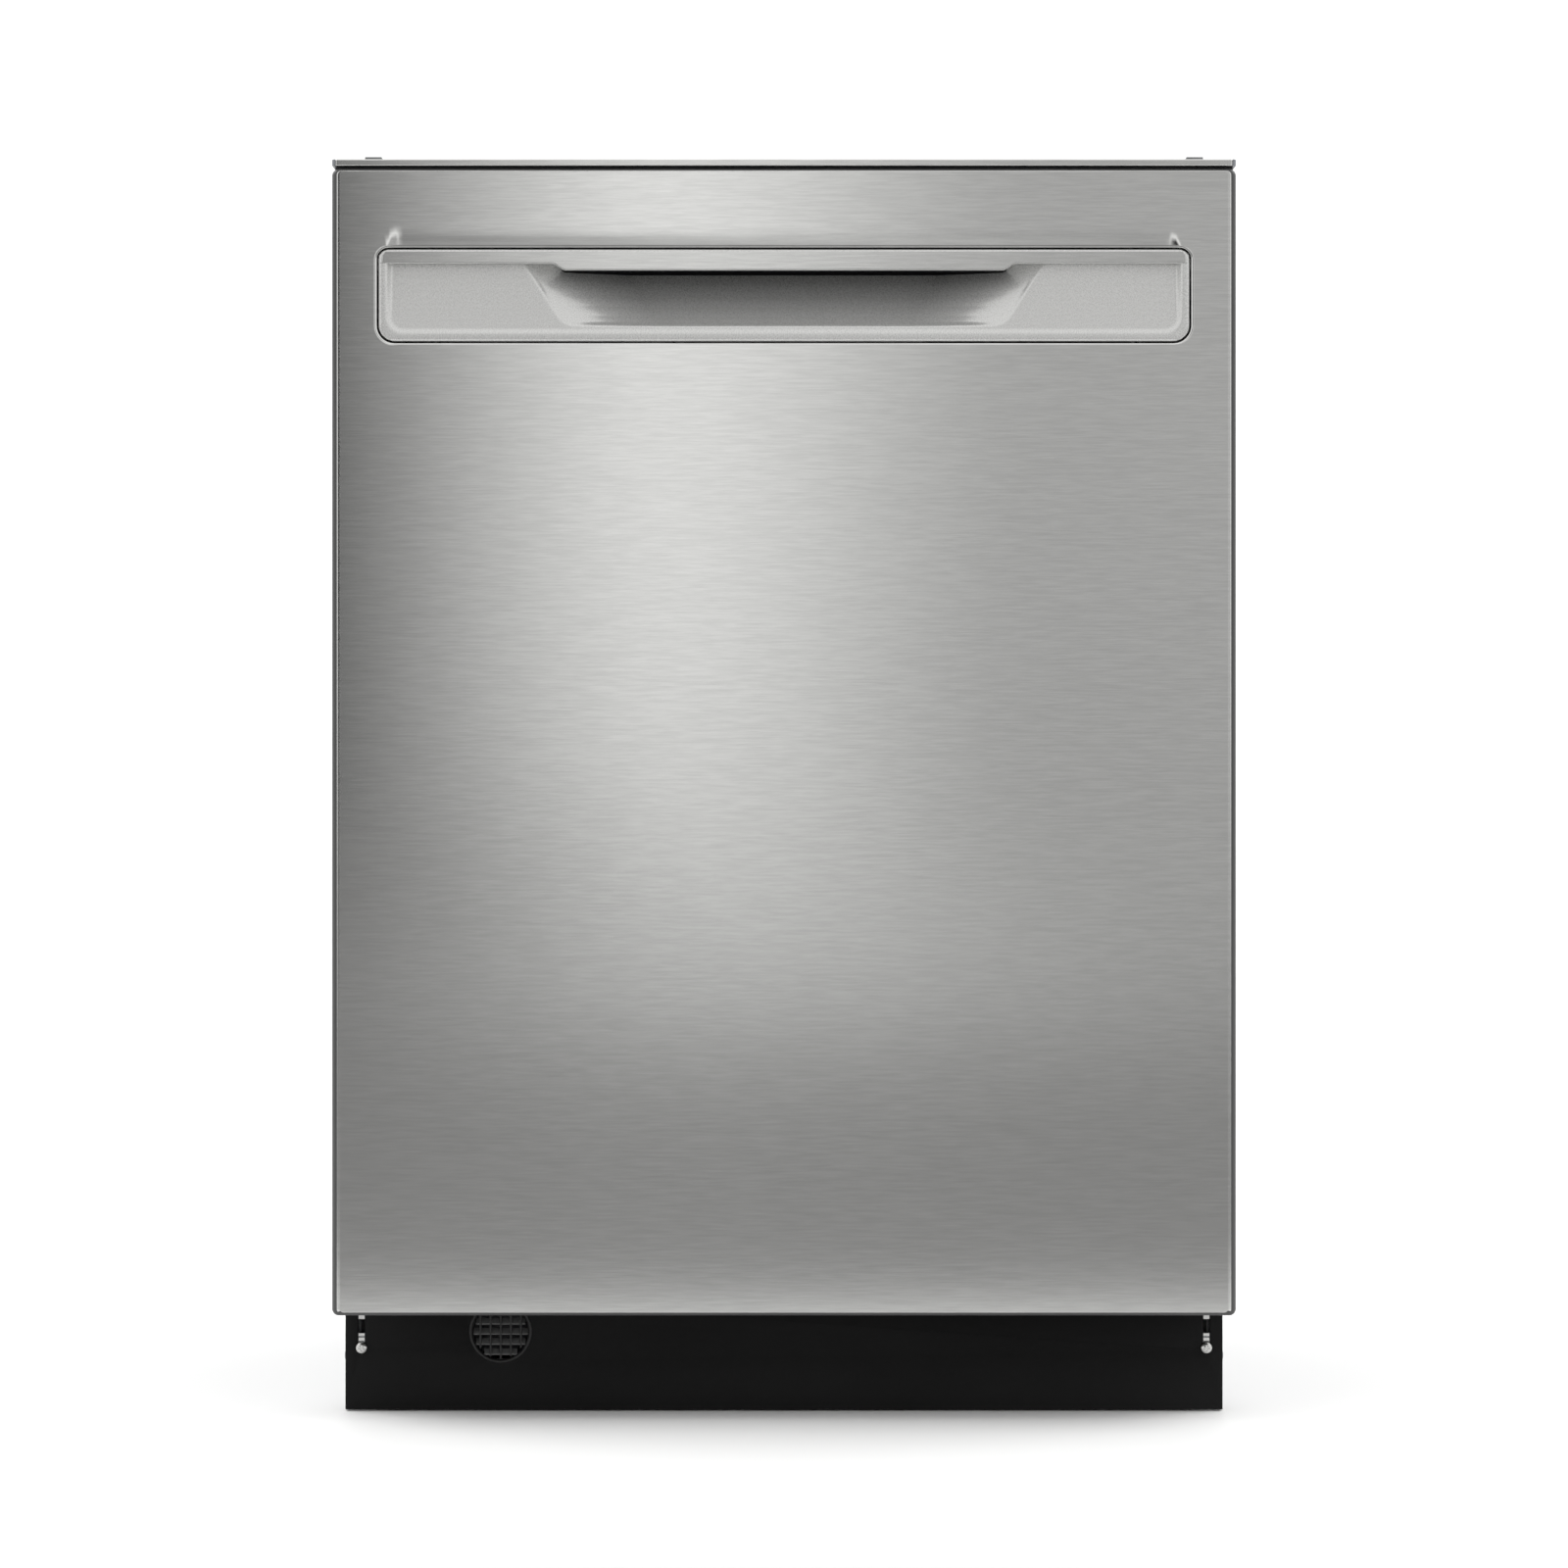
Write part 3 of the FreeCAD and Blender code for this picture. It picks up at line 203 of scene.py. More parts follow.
def combine(tree, operation, first, second):
    """Adds or multiplies two values, or takes the larger one."""
    return shader_node(tree, "Math", {0: first, 1: second}, operation=operation)["Value"]


class Paint:
    """A Principled material with helpers for procedural layers in object space."""

    def __init__(self, name, color, metallic=0.0, roughness=0.4, **sockets):
        self.material = bpy.data.materials.new(name)
        self.material.use_nodes = True
        self.nodes = self.material.node_tree.nodes
        self.links = self.material.node_tree.links
        self.shader = self.nodes["Principled BSDF"]
        self.color = color
        self.shader.inputs["Base Color"].default_value = (*color, 1)
        self.shader.inputs["Metallic"].default_value = metallic
        self.shader.inputs["Roughness"].default_value = roughness
        for socket, value in sockets.items():
            self.shader.inputs[socket.replace("_", " ")].default_value = value
        self.place = shader_node(self, "TexCoord", {})["Object"]

    def noise(self, stretch, scale=1.0, detail=3.0, roughness=0.5):
        """Noise whose features are long where stretch is small."""
        place = shader_node(self, "Mapping", {"Scale": stretch, "Vector": self.place})["Vector"]
        values = {"Vector": place, "Scale": scale, "Detail": detail, "Roughness": roughness}
        return shader_node(self, "TexNoise", values)["Fac"]

    def cells(self, scale):
        """Random shade for each cell of a crystal pattern."""
        return shader_node(self, "TexVoronoi", {"Scale": scale, "Vector": self.place})["Color"]

    def spread(self, value, low, high):
        """Stretches the middle of a pattern's range to low and high."""
        return ramp(self, value, 0.3, 0.7, low, high, "LINEAR")

    def between(self, share, first, second):
        """Base colour that goes from the first colour to the second."""
        ends = {"A": (*first, 1), "B": (*second, 1)}
        color = shader_node(self, "Mix", {"Factor": share, **ends}, data_type="RGBA")["Result"]
        self.links.new(color, self.shader.inputs["Base Color"])

    def tint(self, value, amount):
        """Darkens and lightens the base colour by the given share."""
        dark = [c * (1 - amount) for c in self.color]
        pale = [min(1, c * (1 + amount)) for c in self.color]
        self.between(self.spread(value, 0, 1), dark, pale)

    def rough(self, value, low, high):
        """Varies the roughness with a pattern."""
        self.links.new(self.spread(value, low, high), self.shader.inputs["Roughness"])

    def bump(self, value, distance, strength=1.0):
        """Raises the surface with a pattern, by a distance in metres."""
        values = {"Height": value, "Distance": distance, "Strength": strength}
        self.links.new(shader_node(self, "Bump", values)["Normal"], self.shader.inputs["Normal"])


# ---- materials ----
def brushed(name, color, grain, roughness=0.3, anisotropic=0.0, depth=0.00002):
    """Steel with fine scratches that run along the axis where grain is small."""
    paint = Paint(name, color, 1.0, roughness, Anisotropic=anisotropic)
    fine = paint.noise(grain, 1.0, 4.0, 0.7)
    broad = paint.noise([grain[0] * 1.6, grain[1] * 0.2, grain[2] * 0.2], 1.0, 2.0, 0.6)
    paint.tint(combine(paint, "ADD", fine, paint.spread(broad, -0.16, 0.16)), 0.07)
    paint.rough(fine, roughness * 0.86, roughness * 1.14)
    paint.bump(fine, depth)
    if anisotropic:
        tangent = shader_node(paint, "Tangent", {}, direction_type="RADIAL", axis="Z")["Tangent"]
        paint.shader.inputs["Anisotropic Rotation"].default_value = 0.25
        paint.links.new(tangent, paint.shader.inputs["Tangent"])
    return paint.material


def moulded(name, color, roughness=0.45, grain=900.0, depth=0.00003, coat=0.0):
    """Moulded plastic with a fine spark-eroded grain."""
    paint = Paint(name, color, 0.0, roughness, Coat_Weight=coat, Coat_Roughness=0.08)
    fine = paint.noise((1, 1, 1), grain, 2.0)
    paint.tint(paint.noise((1, 1, 1), 9.0, 2.0), 0.06)
    paint.rough(fine, roughness * 0.85, roughness * 1.15)
    paint.bump(fine, depth)
    return paint.material


def silver_paint(name, color, roughness):
    """Smooth silver lacquer with a faint flake."""
    paint = Paint(name, color, 0.35, roughness, Coat_Weight=0.3, Coat_Roughness=0.08)
    flake = paint.cells(2600.0)
    paint.tint(flake, 0.03)
    paint.rough(flake, roughness * 0.92, roughness * 1.08)
    paint.bump(paint.noise((1, 1, 1), 120.0, 2.0), 0.000008)
    return paint.material


def zinc(name, color, roughness=0.38):
    """Galvanised sheet with a faint spangle."""
    paint = Paint(name, color, 0.9, roughness)
    spangle = paint.cells(140.0)
    paint.tint(spangle, 0.09)
    paint.rough(spangle, roughness * 0.8, roughness * 1.25)
    paint.bump(paint.noise((1, 1, 1), 500.0, 2.0), 0.00002)
    return paint.material


def powder_coat(name, color, roughness, shine):
    """Matte coating with an orange-peel texture."""
    paint = Paint(name, color, 0.0, roughness, Specular_IOR_Level=shine)
    texture = paint.noise((1, 1, 1), 1400.0, 3.0, 0.6)
    paint.tint(paint.noise((1, 1, 1), 14.0, 3.0), 0.12)
    paint.rough(texture, roughness * 0.9, roughness * 1.12)
    paint.bump(texture, 0.00006)
    return paint.material


def fibre(name, color):
    """Felt or fibre pad: matte, mottled, with tangled threads."""
    paint = Paint(name, color, 0.0, 0.95, Sheen_Weight=0.25)
    threads = paint.noise((1, 3, 1), 700.0, 5.0, 0.75)
    paint.tint(paint.noise((1, 1, 1), 60.0, 4.0, 0.7), 0.28)
    paint.bump(threads, 0.0006, 0.8)
    return paint.material


DOOR_GRAIN = (30, 1500, 3200)
M = {
    "brushed_door_steel": brushed("door_steel", (0.56, 0.56, 0.55), DOOR_GRAIN, 0.07, 1.0, 0.0000032),
    "edge_steel": brushed("edge_steel", (0.62, 0.62, 0.61), DOOR_GRAIN, 0.13),
    "strip_steel": brushed("strip_steel", (0.56, 0.56, 0.55), DOOR_GRAIN, 0.15, 1.0, 0.000004),
    "tub_steel": brushed("tub_steel", (0.62, 0.62, 0.61), (120, 900, 60), 0.24, depth=0.000006),
    "spring_steel": brushed("spring_wire", (0.12, 0.12, 0.12), (800, 60, 800), 0.35),
    "bright_screw": brushed("bright_screw", (0.52, 0.52, 0.51), (900, 900, 900), 0.2),
    "heater_steel": brushed("heater_steel", (0.22, 0.21, 0.20), (400, 400, 400), 0.4),
    "track_steel": brushed("track_steel", (0.66, 0.66, 0.66), (400, 20, 400), 0.18),
    "galvanised_steel": zinc("galvanised", (0.38, 0.385, 0.395)),
    "dull_zinc": zinc("dull_zinc", (0.22, 0.225, 0.23), 0.5),
    "handle_silver": silver_paint("handle_silver", (0.60, 0.60, 0.59), 0.28),
    "black_toe_kick": powder_coat("toe_kick_black", (0.0062, 0.0062, 0.0063), 0.6, 0.12),
    # near-black plastic on the door's outer bends and flanges: a painted dark reflection, not the steel's own
    # colour
    "dark_edge_painted_reflection": moulded("dark_edge_painted_reflection", (0.05, 0.05, 0.05), 0.35),
    "vent_rim": moulded("vent_rim", (0.006, 0.006, 0.006), 0.55),
    "vent_grey": moulded("vent_grey", (0.09, 0.09, 0.09), 0.4),
    "display_glass": moulded("display_glass", (0.004, 0.004, 0.005), 0.08, 300, 0.000002, 1.0),
    "console_black": moulded("console_black", (0.012, 0.012, 0.013), 0.22, 900, 0.00001, 0.4),
    "button_grey": moulded("button_grey", (0.22, 0.22, 0.225), 0.4),
    "board_green": moulded("board_green", (0.01, 0.10, 0.045), 0.35),
    "gasket_rubber": moulded("gasket_rubber", (0.035, 0.035, 0.038), 0.7),
    "white_plastic": moulded("white_plastic", (0.72, 0.72, 0.70), 0.35),
    "grey_plastic": moulded("grey_plastic", (0.20, 0.21, 0.225), 0.42),
    "pump_black": moulded("pump_black", (0.022, 0.022, 0.024), 0.5),
    "rack_nylon": moulded("rack_nylon", (0.46, 0.475, 0.49), 0.38, 300.0, 0.00005),
    "sound_felt": fibre("sound_felt", (0.045, 0.045, 0.048)),
    "door_pad": fibre("door_pad", (0.62, 0.60, 0.54)),
}


# ---- making pieces ----
def settle(obj, node, replaces=True):
    """Links a piece and rides it on a CAD node's body; it may stand for the node."""
    bpy.context.scene.collection.objects.link(obj)
    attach(obj, BODY_OF[node])
    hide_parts(*([node] if replaces else []))
    return obj


def shape_mesh(name, shape):
    """A mesh in metres from millimetre points and faces, with its normals outward."""
    points, faces = shape
    mesh = bpy.data.meshes.new(name)
    mesh.from_pydata([tuple(c * MM for c in p) for p in points], [], faces)
    work = bmesh.new()
    work.from_mesh(mesh)
    bmesh.ops.recalc_face_normals(work, faces=work.faces)
    work.to_mesh(mesh)
    work.free()
    return mesh


def piece(name, shape, node, slot=None, replaces=True, sharp=35, extra=(), face_slots=None, edge=0):
    """A piece from millimetre points and faces, for a CAD node, its sharp edges rounded by edge."""
    mesh = shape_mesh(name, shape)
    for each in (slot or SLOT_OF[node], *extra):
        mesh.materials.append(M[each])
    if face_slots is not None:
        mesh.polygons.foreach_set("material_index", face_slots)
    mesh.set_sharp_from_angle(angle=math.radians(sharp))
    obj = settle(bpy.data.objects.new(name, mesh), node, replaces)
    if edge:
        soften(obj, edge)
    return obj


def refine(node, width, slot=None):
    """A CAD node's own shape with its edges rounded over."""
    mesh = frame["nodes"][node].data.copy()
    mesh.name = node + "_shape"
    work = bmesh.new()
    work.from_mesh(mesh)
    bmesh.ops.remove_doubles(work, verts=work.verts, dist=1e-6)
    bmesh.ops.dissolve_limit(work, angle_limit=math.radians(1), verts=work.verts, edges=work.edges)
    work.to_mesh(mesh)
    work.free()
    mesh.materials.clear()
    mesh.materials.append(M[slot or SLOT_OF[node]])
    mesh.polygons.foreach_set("use_smooth", [True] * len(mesh.polygons))
    soften(settle(bpy.data.objects.new(node + "_detailed", mesh), node), width)


def soften(obj, width, segments=2):
    """Rounds the sharp edges of a piece."""
    modifier = obj.modifiers.new("edges", "BEVEL")
    modifier.width = width * MM
    modifier.segments = segments
    modifier.limit_method = "ANGLE"
    modifier.angle_limit = math.radians(35)
    modifier.harden_normals = True


def thicken(obj, thickness):
    """Gives a skin its sheet's thickness, inward."""
    modifier = obj.modifiers.new("sheet", "SOLIDIFY")
    modifier.thickness = thickness * MM
    modifier.offset = -1
    modifier.use_even_offset = True


def bake(obj):
    """Applies the modifiers, so that what follows works on the final mesh."""
    solid = obj.evaluated_get(bpy.context.evaluated_depsgraph_get())
    obj.data = bpy.data.meshes.new_from_object(solid)
    obj.modifiers.clear()


def carve(obj, shape):
    """Cuts a closed shape out of a piece."""
    cutter = bpy.data.objects.new("cutter", shape_mesh("cutter", shape))
    bpy.context.scene.collection.objects.link(cutter)
    modifier = obj.modifiers.new("cut", "BOOLEAN")
    modifier.operation = "DIFFERENCE"
    modifier.object = cutter
    bake(obj)
    bpy.data.objects.remove(cutter)
    obj.data.set_sharp_from_angle(angle=math.radians(35))


# ---- shapes: each is a list of points and a list of faces ----
def bridge(loops, closed=True, caps=False):
    """Points and quads of a skin through loops that all have the same number of points."""
    count = len(loops[0])
    points = [p for loop in loops for p in loop]
    faces = []
    for row in range(len(loops) - 1):
        for i in range(count if closed else count - 1):
            j = (i + 1) % count
            a, b = row * count, (row + 1) * count
            faces.append((a + i, a + j, b + j, b + i))
    if caps:
        last = (len(loops) - 1) * count
        faces += [tuple(range(count)), tuple(range(last, last + count))]
    return points, faces


def close_end(shape, count):
    """The shape with its last loop of points filled by one face."""
    points, faces = shape
    return points, faces + [tuple(range(len(points) - count, len(points)))]


def merge(*shapes):
    """Several shapes as one."""
    points, faces = [], []
    for more_points, more_faces in shapes:
        start = len(points)
        points.extend(more_points)
        faces.extend(tuple(start + i for i in face) for face in more_faces)
    return points, faces


def slab(x0, x1, y0, y1, z0, z1):
    """A block between two corners."""
    points = [(x, y, z) for z in (z0, z1) for y in (y0, y1) for x in (x0, x1)]
    return points, [(0, 2, 3, 1), (4, 5, 7, 6), (0, 1, 5, 4), (2, 6, 7, 3), (0, 4, 6, 2), (1, 3, 7, 5)]


def turned(profile, centre, axis="Z", steps=48):
    """A (radius, height) profile turned about an axis through the centre, closed at both ends."""
    first = "ZYX".index(axis)
    loops = []
    for radius, height in profile:
        loop = []
        for turn in range(steps):
            angle = 2 * math.pi * turn / steps
            offset = (radius * math.cos(angle), radius * math.sin(angle), height)
            loop.append(tuple(c + o for c, o in zip(centre, offset[first:] + offset[:first])))
        loops.append(loop)
    return bridge(loops, caps=profile[0] != profile[-1])


def mirrored(profile, side):
    """A turned profile for the left or the right side of the machine."""
    return [(radius, side * height) for radius, height in profile]


def rounded(path, radius, steps=5):
    """The path with each inner corner eased by a curve."""
    path = [Vector(p) for p in path]
    result = [path[0]]
    for before, corner, after in zip(path, path[1:], path[2:]):
        reach = min(radius, (before - corner).length / 2, (after - corner).length / 2)
        start = corner + (before - corner).normalized() * reach
        stop = corner + (after - corner).normalized() * reach
        for i in range(steps + 1):
            t = i / steps
            result.append(start * (1 - t) ** 2 + corner * 2 * t * (1 - t) + stop * t ** 2)
    return result + [path[-1]]


def wires(name, paths, radius, node, replaces=True, rings=(), sides=2):
    """Round bars along open paths, with domed ends, and along closed rings."""
    curve = bpy.data.curves.new(name, "CURVE")
    curve.dimensions = "3D"
    curve.bevel_depth = radius * MM
    curve.bevel_resolution = sides
    curve.use_fill_caps = True
    for path, ring in [(p, False) for p in paths] + [(r, True) for r in rings]:
        path = [Vector(p) for p in path]
        sizes = [1.0] * len(path)
        if not ring:
            for _ in range(2):
                path.reverse()
                sizes.reverse()
                inward = (path[1] - path[0]).normalized()
                dome = [math.radians(a) for a in (85, 60, 30, 0)]
                path[:1] = [path[0] + inward * radius * (1 - math.sin(a)) for a in dome]
                sizes[:1] = [math.cos(a) for a in dome]
        spline = curve.splines.new("POLY")
        spline.points.add(len(path) - 1)
        spline.use_smooth = True
        spline.use_cyclic_u = ring
        for point, place, size in zip(spline.points, path, sizes):
            point.co = (*(place * MM), 1)
            point.radius = size
    source = bpy.data.objects.new(name + "_path", curve)
    mesh = bpy.data.meshes.new_from_object(source)
    bpy.data.objects.remove(source)
    mesh.materials.clear()
    mesh.materials.append(M[SLOT_OF[node]])
    settle(bpy.data.objects.new(name, mesh), node, replaces)


def ring_path(half, y0, y1, z, radius, steps=6):
    """A level loop with rounded corners."""
    points = []
    for x, y, quarter in [(half, y1, 0), (-half, y1, 1), (-half, y0, 2), (half, y0, 3)]:
        cx = x - radius if x == half else x + radius
        cy = y - radius if y == y1 else y + radius
        for i in range(steps + 1):
            angle = QUARTER * (quarter + i / steps)
            points.append((cx + radius * math.cos(angle), cy + radius * math.sin(angle), z))
    return points


# ---- outline of a plate with rounded corners: finer steps near the ends of its long sides ----
NEAR_END = np.linspace(0.86, 1, 16)
SIDE_STEPS = np.concatenate([-NEAR_END[:0:-1], np.linspace(-0.86, 0.86, 33), NEAR_END[1:]])
UP_STEPS = np.linspace(-1, 1, 9)
ARC_STEPS = np.linspace(0, QUARTER, 9)[1:-1]


def outline(half, z0, z1, r_top, r_bottom):
    """Points (x, z) and outward normals of a rounded rectangle, always the same number."""
    middle = (z0 + r_bottom + z1 - r_top) / 2
    reach = (z1 - r_top - z0 - r_bottom) / 2
    points, normals = [], []

    def side(xs, zs, normal):
        for x, z in zip(xs, zs):
            points.append((x, z))
            normals.append(normal)

    def corner(x, z, radius, start):
        for angle in ARC_STEPS:
            nx, nz = math.cos(start + angle), math.sin(start + angle)
            points.append((x + radius * nx, z + radius * nz))
            normals.append((nx, nz))

    low, high = SIDE_STEPS * (half - r_bottom), SIDE_STEPS * (half - r_top)
    ups = middle + UP_STEPS * reach
    side(low, [z0] * len(low), (0, -1))
    corner(half - r_bottom, z0 + r_bottom, r_bottom, -QUARTER)
    side([half] * len(ups), ups, (1, 0))
    corner(half - r_top, z1 - r_top, r_top, 0)
    side(high[::-1], [z1] * len(high), (0, 1))
    corner(-half + r_top, z1 - r_top, r_top, QUARTER)
    side([-half] * len(ups), ups[::-1], (-1, 0))
    corner(-half + r_bottom, z0 + r_bottom, r_bottom, math.pi)
    return np.array(points), np.array(normals)


# ---- door skin ----
def dish(points):
    """How far the skin sinks towards the top of the pocket's cut-out."""
    x, z = np.abs(points[:, 0]), points[:, 1]
    above = (z - (POCKET_TOP + PANEL_GAP)).clip(0)
    size = np.sin(QUARTER * np.clip((DISH_END - x) / DISH_RUN, 0.001, 1))
    fall = (1 - np.clip(above / (DISH_HEIGHT * size), 0, 1)) ** 2
    return np.where(z > POCKET_TOP - 3, DISH_DEPTH * size ** 2 * fall, 0)


def door_skin():
    """Brushed outer skin with the handle's cut-out, rounded bends and folded flanges. The outer part of each
    bend, the bottom bends and the flanges are near-black plastic: a painted dark reflection along the door's
    edges.
    """
    hole = (POCKET_HALF + PANEL_GAP, POCKET_BOTTOM - PANEL_GAP, POCKET_TOP + PANEL_GAP)
    loops, marks = [], []

    def add(points, depth, mark):
        loops.append([(x, PANEL_FRONT + d, z) for (x, z), d in zip(points, depth)])
        marks.append(mark)

    rim = [(0, 7.0), (0, 1.3), (0.25, 0.6), (0.7, 0.15), (1.4, 0)]
    flat = [2.2, 3.5, 5, 6.5, 8, 9.5, 11, 12.5, 14, 15.5, 17, 19, 22]
    for offset, depth in rim + [(o, 0) for o in flat]:
        radii = [radius + offset for radius in HOLE_RADII]
        points, _ = outline(hole[0] + offset, hole[1] - offset, hole[2] + offset, *radii)
        add(points, dish(points) + depth, 1 if depth else 0)
    hole_lines = len(loops)
    bends = [(1.25, 0.0)] + [(1 - math.sin(a), 1 - math.cos(a)) for a in np.linspace(0, QUARTER, 8)]
    for share, depth in bends:
        inset_x, inset_z = BEND_SIDE * share, BEND_END * share
        radius = max(PANEL_CORNER - inset_z, 0.6)
        points, normals = outline(DOOR_HALF - inset_x, PANEL_LOW.z + inset_z, PANEL_HIGH.z - inset_z,
                                  radius, radius)
        size = np.abs(normals[:, 0]) * BEND_SIDE + np.abs(normals[:, 1]) * BEND_END
        # bend faces past about a quarter turn take the near-black slot, a painted dark reflection
        add(points, size * depth, 2 if depth > 0.09 else 1)
    up = normals[:, 1]
    add(points, np.where(up > 0.5, TOP_FLANGE, np.where(up < -0.5, BOTTOM_FLANGE, SIDE_FLANGE)), 2)
    shape = bridge(loops)
    count = len(loops[0])
    slots = []
    for index in range(len(shape[1])):
        line, column = divmod(index, count)
        bent = max(marks[line], marks[line + 1]) if marks[line] else 0
        slots.append(2 if bent and line >= hole_lines and up[column] < -0.5 else bent)
    skin = piece("door_skin", shape, "door_outer_panel", sharp=50, extra=["edge_steel", "dark_edge_painted_reflection"],
                 face_slots=slots)
    thicken(skin, SHEET)


# ---- pocket handle ----
def strip_edge(x):
    """Height of the strip's lower edge, which steps down over the finger pocket."""
    step = smooth((np.abs(x) - STEP_START) / (STEP_END - STEP_START))
    return STRIP_MIDDLE + (STRIP_SIDE - STRIP_MIDDLE) * step


def inside(x, z, half, bottom, radius):
    """Distance in from the sides and bottom of a shape with rounded bottom corners."""
    dx, dz = half - np.abs(x), z - bottom
    corner = radius - np.hypot(radius - dx, radius - dz)
    return np.where((dx < radius) & (dz < radius), corner, np.minimum(dx, dz))


def finger_side(z):
    """Half width of the finger pocket, which grows upward."""
    return FINGER_LOW_HALF + FINGER_SPREAD * (z - FINGER_LOW)


def insert_depth(x, z):
    """Depth of the insert's face behind its front plane, below the strip."""
    scoop = inside(x, z, SCOOP_HALF, SCOOP_BOTTOM, SCOOP_CORNER)
    t = np.clip((STRIP_SIDE - z) / (STRIP_SIDE - SCOOP_BOTTOM), 0, 1)
    depth = (SCOOP_DEPTH[0] + SCOOP_DEPTH[1] * (1 - t ** 1.3)) * smooth(scoop / SCOOP_ROLL)
    pocket = inside(x, z, finger_side(z), FINGER_BOTTOM, FINGER_CORNER)
    deep = np.interp(z, FINGER_HEIGHTS, FINGER_DEPTHS)
    end_wall = np.clip((finger_side(z) - np.abs(x)) / FINGER_END_RUN, 0, 1) ** 0.9
    return depth + (deep - depth).clip(0) * np.where(pocket > 0, end_wall * smooth(pocket / FINGER_ROLL), 0)


def edge_fall(gap):
    """Depth of the plate's bright chamfered edge at a distance in from its outline."""
    return np.interp(gap, np.array([0, 0.1, 0.88, 1.0]) * EDGE, np.array([1.0, 0.8, 0.04, 0.0]) * EDGE * 0.8)


def insert_columns():
    """Places of the insert's points across its width, closest together where its shape turns."""
    half = np.concatenate([
        np.linspace(0, 122, 40)[:-1], np.linspace(122, 180, 62)[:-1], np.linspace(180, INSERT_ENDS, 20)[:-1],
        np.linspace(INSERT_ENDS, POCKET_HALF - 1.1, 24), POCKET_HALF - np.array([1.0, 0.88, 0.5, 0.1, 0])])
    return np.concatenate([-half[::-1], half[1:]])


def corner_inset(distance, radius):
    """How far a rounded corner has drawn in at a distance from its end."""
    gap = max(radius - distance, 0)
    return radius - math.sqrt(max(radius ** 2 - gap ** 2, 0))


def handle_insert():
    """Silver insert in one skin: chamfered edge, scoop, finger pocket, steel strip. Gives its deepest row."""
    xs = insert_columns()
    edge_in = np.array([1.0, 0.88, 0.1, 0.0]) * EDGE
    edge_depth = edge_fall(edge_in)
    strip = strip_edge(xs)
    rows = []

    def warp(z):
        """Columns near the ends bow in to follow the rounded corners."""
        cut = corner_inset(z - POCKET_BOTTOM, INSERT_RADII[1]) + corner_inset(POCKET_TOP - z, INSERT_RADII[0])
        outer = np.clip((np.abs(xs) - INSERT_ENDS) / (POCKET_HALF - INSERT_ENDS), 0, 1)
        return xs - np.sign(xs) * outer * cut

    def row(z_line, depth_of):
        z_mid = float(np.mean(z_line))
        x = warp(z_mid)
        z = np.broadcast_to(z_line, x.shape)
        rim = edge_fall(np.abs(x[-1]) - np.abs(x))
        rows.append(np.stack([x, POCKET_FRONT + np.maximum(depth_of(x, z), rim), z], 1))

    def level(depth):
        return lambda x, z: x * 0 + depth

    for gap, depth in zip(edge_in[::-1], edge_depth[::-1]):
        row(np.array([POCKET_BOTTOM + gap]), level(depth))
    low_rows = np.concatenate([np.linspace(EDGE, 8, 12), np.linspace(8, 16, 14)[1:],
                               np.linspace(16, 47.4, 46)[1:]])
    for share in low_rows[1:] / low_rows[-1]:
        row(POCKET_BOTTOM + EDGE + share * (strip - POCKET_BOTTOM - EDGE), insert_depth)
    wall_row = len(rows) - 1
    for lift, depth in ((0.0, 0.5), (0.15, 0.15), (0.5, 0.0)):
        row(strip + lift, level(depth))
    for share in (0.04, 0.3, 0.65, 0.97, 1.0):
        row(strip + 0.5 + share * (POCKET_TOP - EDGE - strip - 0.5), level(0))
    for gap, depth in list(zip(edge_in, edge_depth))[1:]:
        row(np.array([POCKET_TOP - gap]), level(depth))
    points, faces = bridge([r.tolist() for r in rows], closed=False)
    slots, kept = [], []
    for index, face in enumerate(faces):
        line, column = divmod(index, len(xs) - 1)
        x = (xs[column] + xs[column + 1]) / 2
        if line == wall_row and abs(x) < RISE_HALF:
            continue
        kept.append(face)
        slots.append(1 if wall_row < line < wall_row + 8 and abs(x) < SCOOP_HALF + 2 else 0)
    piece("handle_insert", (points, kept), "handle_pocket", sharp=60, extra=["strip_steel"], face_slots=slots)
    return rows[wall_row]


def rise_shell(last_row):
    """The hollow behind the strip's lip, joined to the insert's deepest row, closed at its ends, in black
    plastic that is painted shade.
    """
    back = POCKET_FRONT + LIP_BACK
    loops = []
    for x, y, z in last_row.tolist():
        if abs(x) > RISE_HALF + 1:
            continue
        edge = float(strip_edge(x))
        loops.append([(x, y, z), (x, y + 0.3, z + 8), (x, y, RISE_TOP - 6), (x, y - 5, RISE_TOP),
                      (x, back + 4, RISE_TOP), (x, back, RISE_TOP - 4), (x, back, edge + 1.0),
                      (x, back - 1.0, edge), (x, POCKET_FRONT + 1.2, edge), (x, POCKET_FRONT + 0.5, edge)])
    # black plastic in the hollow is painted shade: it stands in for the shadow under the lip
    piece("handle_rise", bridge(loops, closed=False, caps=True), "handle_pocket", slot="console_black",
          replaces=False)


